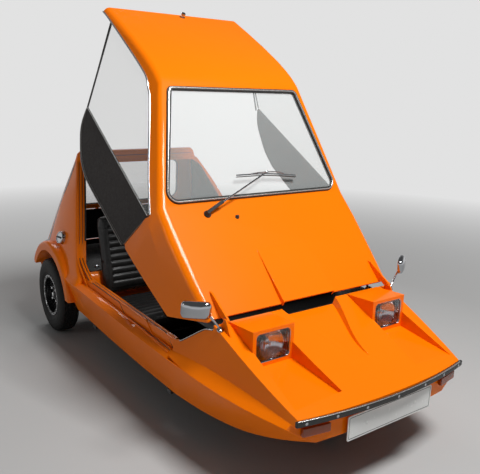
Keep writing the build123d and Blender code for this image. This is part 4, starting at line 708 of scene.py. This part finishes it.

# Tail: black strips of painted shade for the groove along each flank's rear edge, hoop and pillar rubbers, rear window
# rubber and the lid's handle
for side, hand in SIDES:
    front_line, middle_line, rear_line = [], [], []
    for z in (560, 600, 650, 700, 760, 820, 880, 940, 1000, 1060, 1120, 1150):
        rear_y = 1338 - (z - 529) * (1338 - 1130) / (1165 - 529)
        wide = min(1, (1190 - z) / 200)
        for line, back in ((front_line, 48 + 62 * wide), (middle_line, 46 + 38 * wide), (rear_line, 44 + 14 * wide)):
            at, normal = side_point("tail_body", side, rear_y - back, z)
            line.append(at + normal * 0.0009)
    # a thin black sheet on the flank by its rear edge: painted shade of the groove there
    points = front_line + middle_line + rear_line
    faces = grid_faces(3, len(front_line), closed_ring=False)
    strip = mesh_piece(f"tail_groove_shade_{hand}", points, faces, "body", "black_paint", angle=60)
    strip.modifiers.new("thickness", "SOLIDIFY").thickness = 0.0008
    # the rubber on the pillar's front edge, round the way into the tail
    edge = [(690, 700, 554), (787, 860, 511), (899, 1013, 464)]
    path = [mm(side * (x + 5), y - 3.0, z) for y, z, x in edge]
    path += [mm(side * 441, 968, 1100), mm(side * 404, 1012, 1139)]
    sweep(f"pillar_rubber_{hand}", smooth_path(path), ellipse(5.5, 4.5), "body", "rubber_black")

hoop_line = [mm(x, 1057.5 if abs(x) < 425 else 1060.5, 1186.0)
             for x in (-436, -430, -415, -300, -150, 0, 150, 300, 415, 430, 436)]
sweep("hoop_rubber", hoop_line, ellipse(6.0, 5.0), "body", "rubber_black", up=(0, 0, 1))


def rear_y_at(z):
    """The tail's rear face at a height, in millimetres."""
    return 1282 + (z - 700) * (1130 - 1282) / (1165 - 700)


rear_out = (0, 0.95, 0.31)
window_line = rounded([(-398, 822), (398, 822), (349, 1134), (-349, 1134)], [58] * 4)
for label, out, profile, finish in (("rubber", 1.0, ellipse(8, 4.5), "rubber_black"),
                                    ("bead", 5.0, ellipse(2.4, 1.4), "bright_trim")):
    path = [mm(x, rear_y_at(z) + out, z) for x, z in window_line]
    sweep(f"rear_window_{label}", path, profile, "body", finish, closed=True, up=rear_out)
handle = smooth_path([mm(x, rear_y_at(566) + out, 566)
                      for x, out in ((-52, 3), (-46, 20), (-25, 27), (25, 27), (46, 20), (52, 3))])
sweep("lid_handle", handle, ellipse(5, 7), "boot_lid", "chrome", up=(0, 0, 1))
lock = [(0, 12), (3, 12), (5, 9), (7, 8.5), (7.6, 0)]
lathe("lid_lock", lock, mm(0, rear_y_at(600), 600), rear_out, "boot_lid", "chrome", 36)

# Door opening: ridges of the body's orange round the sill and up the pillar, with thin black lines of painted shade in
# the grooves between.
# On the nose it is a black channel with a light line
tail_edge = [(600, 629), (700, 604), (780, 582), (860, 561), (940, 537), (1013, 514), (1090, 485), (1150, 462)]


def ridge_path(side, inset):
    """A line along the sill's top and up the pillar, set in from the outer edge."""
    x = side * (636 - inset)
    path = [surface("side_sills", mm(x, y, 2300), (0, 0, -1), mm(x, y, 505))[0] for y in range(-548, 481, 64)]
    for z, x in tail_edge:
        at, _ = surface("tail_body", mm(side * (x - inset), 300, z), (0, 1, 0), path[-1])
        if at.y < 1.15 and (at - path[-1]).length > 0.001:
            path.append(at)
    return smooth_path(path, share=5)


for side, hand in SIDES:
    for label, inset, half, high in (("outer", 4, 5.5, 4.5), ("middle", 20, 6.5, 4.0), ("inner", 36, 5.0, 4.5)):
        sweep(f"door_ridge_{label}_{hand}", ridge_path(side, inset), ellipse(half, high), "body", "body_orange")
    # black lines in the valleys between the ridges: painted shade
    for label, inset in (("outer", 12.2), ("inner", 29)):
        sweep(f"door_groove_shade_{label}_{hand}", ridge_path(side, inset), ellipse(1.8, 1.2, 8), "body", "rubber_black")
    front_part = []
    for y, z in ((-600, 507), (-612, 513), (-650, 539), (-680, 560), (-705, 578), (-740, 602), (-762, 613),
                 (-790, 619), (-808, 623)):
        at, _ = side_point("nose_body", side, y, z - 6)
        front_part.append(Vector((at.x, y * MM, (z + 1.2) * MM)) + mm(-side * 7.0, 0, 0))
    channel = smooth_path(front_part, share=3)
    sweep(f"nose_rubber_{hand}", channel, ellipse(6.5, 3.6), "body", "rubber_black", up=(0, -0.5, 0.86))
    light_line = [point + mm(side * 6.8, 0, 1.6) for point in channel]
    sweep(f"nose_light_line_{hand}", light_line, ellipse(1.5, 1.5, 8), "body", "bright_trim")

# Fuel cap: a chrome rim with a dark centre and a grip bar
cap_low, cap_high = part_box("fuel_cap")
cap_mid = (Vector(cap_low) + Vector(cap_high)) / 2
cap_face = Vector((cap_low[0], cap_mid.y, cap_mid.z))
cap_dir = Vector((-0.93, -0.12, 0.30)).normalized()
cap_at = cap_mid + cap_dir * 0.0105
lathe("fuel_cap_rim", [(0, 40), (4, 40.5), (7.0, 38), (7.6, 34), (4.4, 31), (3.6, 0)], cap_at, cap_dir, steps=64)
bar_dir = cap_dir.cross(Vector((0, 0, 1))).normalized()
bar = [cap_at + cap_dir * 0.006 + bar_dir * t * MM for t in (-30, -20, 0, 20, 30)]
sweep("fuel_cap_grip", bar, ellipse(5.5, 7), "body", "black_plastic", up=cap_dir)

# Cabin: ribbed mats, dials, switches, vents, wheel boss and grip, gear gaiter, handbrake grip and belt anchors
points, faces = [], []
for side, y_low in ((1, -700), (-1, -690)):
    for i in range(18):
        x = side * (262 + 15.5 * i)
        if abs(x) <= 530:
            faces += [tuple(len(points) + k for k in quad) for quad in grid_faces(2, 4, caps=(0, 1))]
            points += [mm(x + a * (3.4 - inset), (y_low + inset) if b < 0 else (-50 - inset), z)
                       for inset, z in ((0, 250.9), (1.4, 253.6)) for a, b in ((-1, -1), (1, -1), (1, 1), (-1, 1))]
mesh_piece("mat_ribs", points, faces, "body", "floor_mat")

material("dial_face", (0.012, 0.012, 0.013), 0.3, "black_plastic", coat=0.5, mottle=0.2)
material("needle_white", (0.8, 0.8, 0.76), 0.4, "plate_white", mottle=0.05)
face_dir, face_up = Vector((0, 0.89, 0.45)).normalized(), Vector((0, -0.45, 0.89)).normalized()
dash_point = (-452, 671)


def on_dial(at, degrees, radius, rise):
    """A spot on a dial, by its angle from the top and its distance from the middle."""
    turn = radians(degrees)
    return at + face_dir * rise + (Vector((1, 0, 0)) * sin(turn) + face_up * cos(turn)) * radius * MM


for name, x, radius in (("speed", -372, 40), ("fuel", -286, 26), ("heat", -226, 26)):
    at = mm(x, *dash_point)
    bezel = [(-6, radius + 3), (4, radius + 3), (6, radius), (5, radius - 3), (1, radius - 3.5), (0.5, 0)]
    lathe(f"dial_{name}_bezel", bezel, at, face_dir, steps=48)
    disc = [(0.6, radius - 4), (1.4, radius - 4), (1.6, 0)]
    lathe(f"dial_{name}_face", disc, at, face_dir, "body", "dial_face", 48)
    marks = [lathe(f"mark_{name}_{i}", [(0, 1.3), (0.4, 1.2), (0.5, 0)], on_dial(at, -130 + 26 * i, radius - 9, 0.0019),
                   face_dir, "body", "needle_white", 8) for i in range(11)]
    needle = [at + face_dir * 0.0028, on_dial(at, -95, radius - 11, 0.0028)]
    marks.append(sweep(f"needle_{name}", needle, ellipse(1.1, 0.6, 6), "body", "needle_white"))
    joined(f"dial_{name}_marks", marks, "body", "needle_white")
switch = [(-3, 11), (2, 11), (4, 9), (5, 4.2), (16, 5.2), (18, 3), (18.4, 0)]
joined("dash_switches", [lathe(f"switch_{i}", switch, mm(-150 + 44 * i, *dash_point), face_dir, steps=20)
                         for i in range(5)])
vent = [(-2, 24), (5, 24), (7, 21), (4, 18), (4, 14), (6, 12), (4, 10), (4, 6), (6, 4), (6.4, 0)]
for hand, x, z in (("left", 396, 668), ("right", -366, 640)):
    lathe(f"dash_vent_{hand}", vent, mm(x, -455, z), face_dir, "body", "black_plastic", 40)

column_back = Vector((0, 0.93974, 0.34191))
wheel_mid = mm(-330, -250, 580)
boss_at = wheel_mid - column_back * 0.020
boss = [(-22, 26), (-8, 40), (0, 46), (8, 44), (13, 34), (15.5, 18), (16, 0)]
lathe("wheel_boss", boss, boss_at, column_back, "steering_wheel", "black_plastic", 56)
first = Vector((1, 0, 0))
second = column_back.cross(first)
rim_path = [wheel_mid + (first * cos(2 * pi * i / 96) + second * sin(2 * pi * i / 96)) * 0.165 for i in range(96)]
sweep("wheel_grip", rim_path, ellipse(12.2, 11.2, 16), "steering_wheel", "vinyl_black", closed=True, up=column_back)
gaiter = [(0, 58), (6, 56), (10, 46), (16, 48), (22, 38), (28, 40), (34, 30), (41, 31), (48, 20), (56, 19), (64, 9),
          (66, 7)]
lathe("gear_gaiter", gaiter, mm(0, -116, 397.5), (0, -0.12, 0.99), "body", "vinyl_black", 48)
grip = [(0, 8), (2, 13), (8, 14), (40, 15), (72, 14), (94, 13), (100, 9), (102, 0)]
lathe("handbrake_grip", grip, mm(0, 58, 332), (0, -0.894, 0.447), "body", "black_plastic", 32)
anchor = [(0, 17), (4, 17), (6, 14), (9, 12), (16, 11), (18, 0)]
for side, hand in SIDES:
    lathe(f"belt_anchor_{hand}", anchor, mm(side * 500, 660, 522), (0, 0, 1), steps=32)

# Coil springs round the dampers
for name, x, y, low_z, high_z, radius, turns in (("rear_left", 250, 1054, 292, 372, 40, 5),
                                                 ("rear_right", -250, 1054, 292, 372, 40, 5),
                                                 ("front", 255, -850, 322, 486, 33, 7)):
    rise = (high_z - low_z) / (turns * 28)
    coil = [mm(x + radius * cos(2 * pi * i / 28), y + radius * sin(2 * pi * i / 28), low_z + rise * i)
            for i in range(turns * 28 + 1)]
    sweep(f"{name}_coil", coil, ellipse(5, 5, 8), "body", "black_paint")

# Seats: simulated vinyl pads with sewn lateral channels
PAD_VOXEL = 0.006
PAD_FRAMES = 14
PAD_SWELL = 0.009


def pad_block(spots, counts):
    """A closed block of quads over a grid of corners, its hollow left out."""
    bm = bmesh.new()
    grid = {key: bm.verts.new(spot) for key, spot in spots.items()}
    for fixed, (a, b) in ((2, (0, 1)), (1, (0, 2)), (0, (1, 2))):
        for i in range(counts[a]):
            for j in range(counts[b]):
                for end in (0, counts[fixed]):
                    key = [0, 0, 0]
                    corners = []
                    for di, dj in ((0, 0), (0, 1), (1, 1), (1, 0)):
                        key[a], key[b], key[fixed] = i + di, j + dj, end
                        corners.append(grid[tuple(key)])
                    bm.faces.new(corners)
    bmesh.ops.recalc_face_normals(bm, faces=bm.faces)
    return bm


def settle(obj):
    """Makes what the modifiers give the piece's own mesh."""
    graph = bpy.context.evaluated_depsgraph_get()
    obj.data = bpy.data.meshes.new_from_object(obj.evaluated_get(graph))
    obj.modifiers.clear()


def swell(obj):
    """Blows the pad up as cloth under pressure, each point by no more than the cap."""
    start = [v.co.copy() for v in obj.data.vertices]
    cloth = obj.modifiers.new("cloth", "CLOTH")
    for key, value in (("quality", 4), ("mass", 0.25), ("use_pressure", True), ("uniform_pressure_force", 4),
                       ("tension_stiffness", 18), ("shear_stiffness", 8), ("bending_stiffness", 0.6)):
        setattr(cloth.settings, key, value)
    cloth.settings.effector_weights.gravity = 0
    cloth.collision_settings.use_collision = False
    cloth.point_cache.frame_start, cloth.point_cache.frame_end = 1, PAD_FRAMES
    for number in range(1, PAD_FRAMES + 1):
        bpy.context.scene.frame_set(number)
    settle(obj)
    bpy.context.scene.frame_set(1)
    for vertex, old in zip(obj.data.vertices, start):
        step = vertex.co - old
        if step.length > PAD_SWELL:
            vertex.co = old + step * (PAD_SWELL / step.length)


def pad(name, frame_of, size, thick, channels, taper=0.0):
    """A swollen pad in its own frame: the middle of its back face, then the ways across, up and out."""
    origin_of, across_of, up_of, out_of = frame_of
    wide, high = size
    counts = (22, 22, 5)
    spots = {}
    for key in ((i, j, k) for i in range(23) for j in range(23) for k in range(6)):
        if any(place_at in (0, count) for place_at, count in zip(key, counts)):
            u, v, w = 2 * key[0] / 22 - 1, 2 * key[1] / 22 - 1, key[2] / 5
            narrow = 1 - taper * (v + 1) / 2
            rim = (1 - 0.035 * (abs(u) ** 8 * abs(v) ** 8)) * (0.965 + 0.035 * (1 - abs(2 * w - 1) ** 3))
            crown = w * thick * 0.16 * (1 - u**4) * (1 - v**4)
            spot = origin_of + across_of * (u * wide / 2 * narrow * rim) * MM + up_of * (v * high / 2 * rim) * MM
            spots[key] = spot + out_of * (w * thick * 0.86 + crown) * MM
    obj = new_object(name, mesh_of(pad_block(spots, counts), name))
    bpy.context.view_layer.objects.active = obj
    remesh = obj.modifiers.new("remesh", "REMESH")
    remesh.mode = "VOXEL"
    remesh.voxel_size = PAD_VOXEL
    settle(obj)
    swell(obj)
    # sewn channels on the outer face, inside a smooth bolster, and a stitched line round it
    for vertex in obj.data.vertices:
        local = vertex.co - origin_of
        u = local.dot(across_of) / (wide / 2 * MM)
        v = local.dot(up_of) / (high / 2 * MM)
        share = abs(u) / (1 - taper * (v + 1) / 2)
        if local.dot(out_of) <= 0.55 * thick * MM:
            continue
        if share < 0.80 and -0.86 < v < 0.84:
            fade = min(1, (0.80 - share) / 0.05) * min(1, (0.84 - abs(v)) / 0.04 if v > 0 else (v + 0.86) / 0.04)
            groove = abs(sin(pi * channels * (v + 0.86) / 1.70))
            vertex.co -= out_of * 0.0085 * fade * (1 - groove) ** 1.6
        edge_line = abs(share - 0.83) if -0.9 < v < 0.88 else 9
        cross_line = min(abs(v - 0.87), abs(v + 0.89)) if share < 0.84 else 9
        near = min(edge_line, cross_line)
        if near < 0.03:
            vertex.co -= out_of * 0.0045 * (1 - near / 0.03)
    for face in obj.data.polygons:
        face.use_smooth = True
    smoother = obj.modifiers.new("subdivision", "SUBSURF")
    smoother.levels = smoother.render_levels = 1
    place(obj, "body", "vinyl_black")
    return obj


cushions, backs = [], []
back_up = Vector((0, 150, 478)).normalized()
back_out = Vector((0, -back_up.z, back_up.y)).normalized()
for side, hand in SIDES:
    across_of = Vector((side, 0, 0))
    seat_frame = (mm(side * 322, 198, 302), across_of, Vector((0, 1, 0)), Vector((0, 0, 1)))
    cushions.append(pad(f"seat_cushion_{hand}", seat_frame, (468, 466), 98, 9))
    back_frame = (mm(side * 306, 517, 641) - back_out * 0.0955, across_of, back_up, back_out)
    backs.append(pad(f"seat_back_{hand}", back_frame, (430, 488), 92, 10, taper=0.12))
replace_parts(cushions[0], "seat_cushions")
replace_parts(backs[0], "seat_backs")

# Stage: a plain pale floor and soft studio light
PALE = 0.76


def stage_floor(name):
    """Pale and plain, fading into the background far from the object."""
    made, tree_nodes, links, shader = node_tree(name)
    shader.inputs["Base Color"].default_value = (0.50, 0.50, 0.495, 1)
    shader.inputs["Roughness"].default_value = 0.85
    place_of = tree_nodes.new("ShaderNodeNewGeometry")
    length = tree_nodes.new("ShaderNodeVectorMath")
    length.operation = "LENGTH"
    links.new(place_of.outputs["Position"], length.inputs[0])
    far = ramp(tree_nodes, links, length.outputs["Value"], 2.4, 7.5, 0.0, 1.0)
    glow = tree_nodes.new("ShaderNodeEmission")
    glow.inputs["Strength"].default_value = PALE
    mix = tree_nodes.new("ShaderNodeMixShader")
    links.new(far, mix.inputs["Fac"])
    links.new(shader.outputs[0], mix.inputs[1])
    links.new(glow.outputs[0], mix.inputs[2])
    links.new(mix.outputs[0], tree_nodes["Material Output"].inputs["Surface"])
    return made


floor_mesh = bpy.data.meshes.new("floor")
floor_mesh.from_pydata([(-30, -30, 0), (30, -30, 0), (30, 30, 0), (-30, 30, 0)], [], [(0, 1, 2, 3)])
floor = new_object("floor", floor_mesh)
floor_mesh.materials.append(stage_floor("floor_pale"))

world = bpy.data.worlds.new("studio")
bpy.context.scene.world = world
world.use_nodes = True
tree = world.node_tree
background, pale = tree.nodes["Background"], tree.nodes.new("ShaderNodeBackground")
background.inputs["Strength"].default_value = 0.11
for shader in (background, pale):
    shader.inputs["Color"].default_value = (1, 1, 1, 1)
direction = tree.nodes.new("ShaderNodeTexCoord")
parts_of = tree.nodes.new("ShaderNodeSeparateXYZ")
tree.links.new(direction.outputs["Generated"], parts_of.inputs[0])
tree.links.new(ramp(tree.nodes, tree.links, parts_of.outputs["Z"], 0.14, 0.34, PALE, 0.10), pale.inputs["Strength"])
rays = tree.nodes.new("ShaderNodeLightPath")


def either(first_socket, second_socket):
    """The greater of two values."""
    made = tree.nodes.new("ShaderNodeMath")
    made.operation = "MAXIMUM"
    tree.links.new(first_socket, made.inputs[0])
    tree.links.new(second_socket, made.inputs[1])
    return made.outputs[0]


seen = either(rays.outputs["Is Camera Ray"], rays.outputs["Is Transmission Ray"])
choose = tree.nodes.new("ShaderNodeMixShader")
tree.links.new(either(seen, rays.outputs["Is Glossy Ray"]), choose.inputs["Fac"])
tree.links.new(background.outputs[0], choose.inputs[1])
tree.links.new(pale.outputs[0], choose.inputs[2])
tree.links.new(choose.outputs[0], tree.nodes["World Output"].inputs["Surface"])


def lamp(name, position, target, size, power):
    """A rectangular soft light that faces its target."""
    light = bpy.data.lights.new(name, "AREA")
    light.shape = "RECTANGLE"
    light.size, light.size_y = size
    light.energy = power
    obj = new_object(name, light)
    obj.location = position
    obj.rotation_euler = (Vector(target) - Vector(position)).to_track_quat("-Z", "Y").to_euler()


lamp("key", (0.5, -2.8, 5.2), (0, -0.2, 0.5), (1.8, 1.2), 275)
lamp("back", (0.6, 4.2, 3.6), (0, 0.4, 0.9), (2.4, 1.2), 50)
lamp("side", (-5.2, 0.4, 2.6), (0, 0, 0.6), (0.8, 1.6), 9)
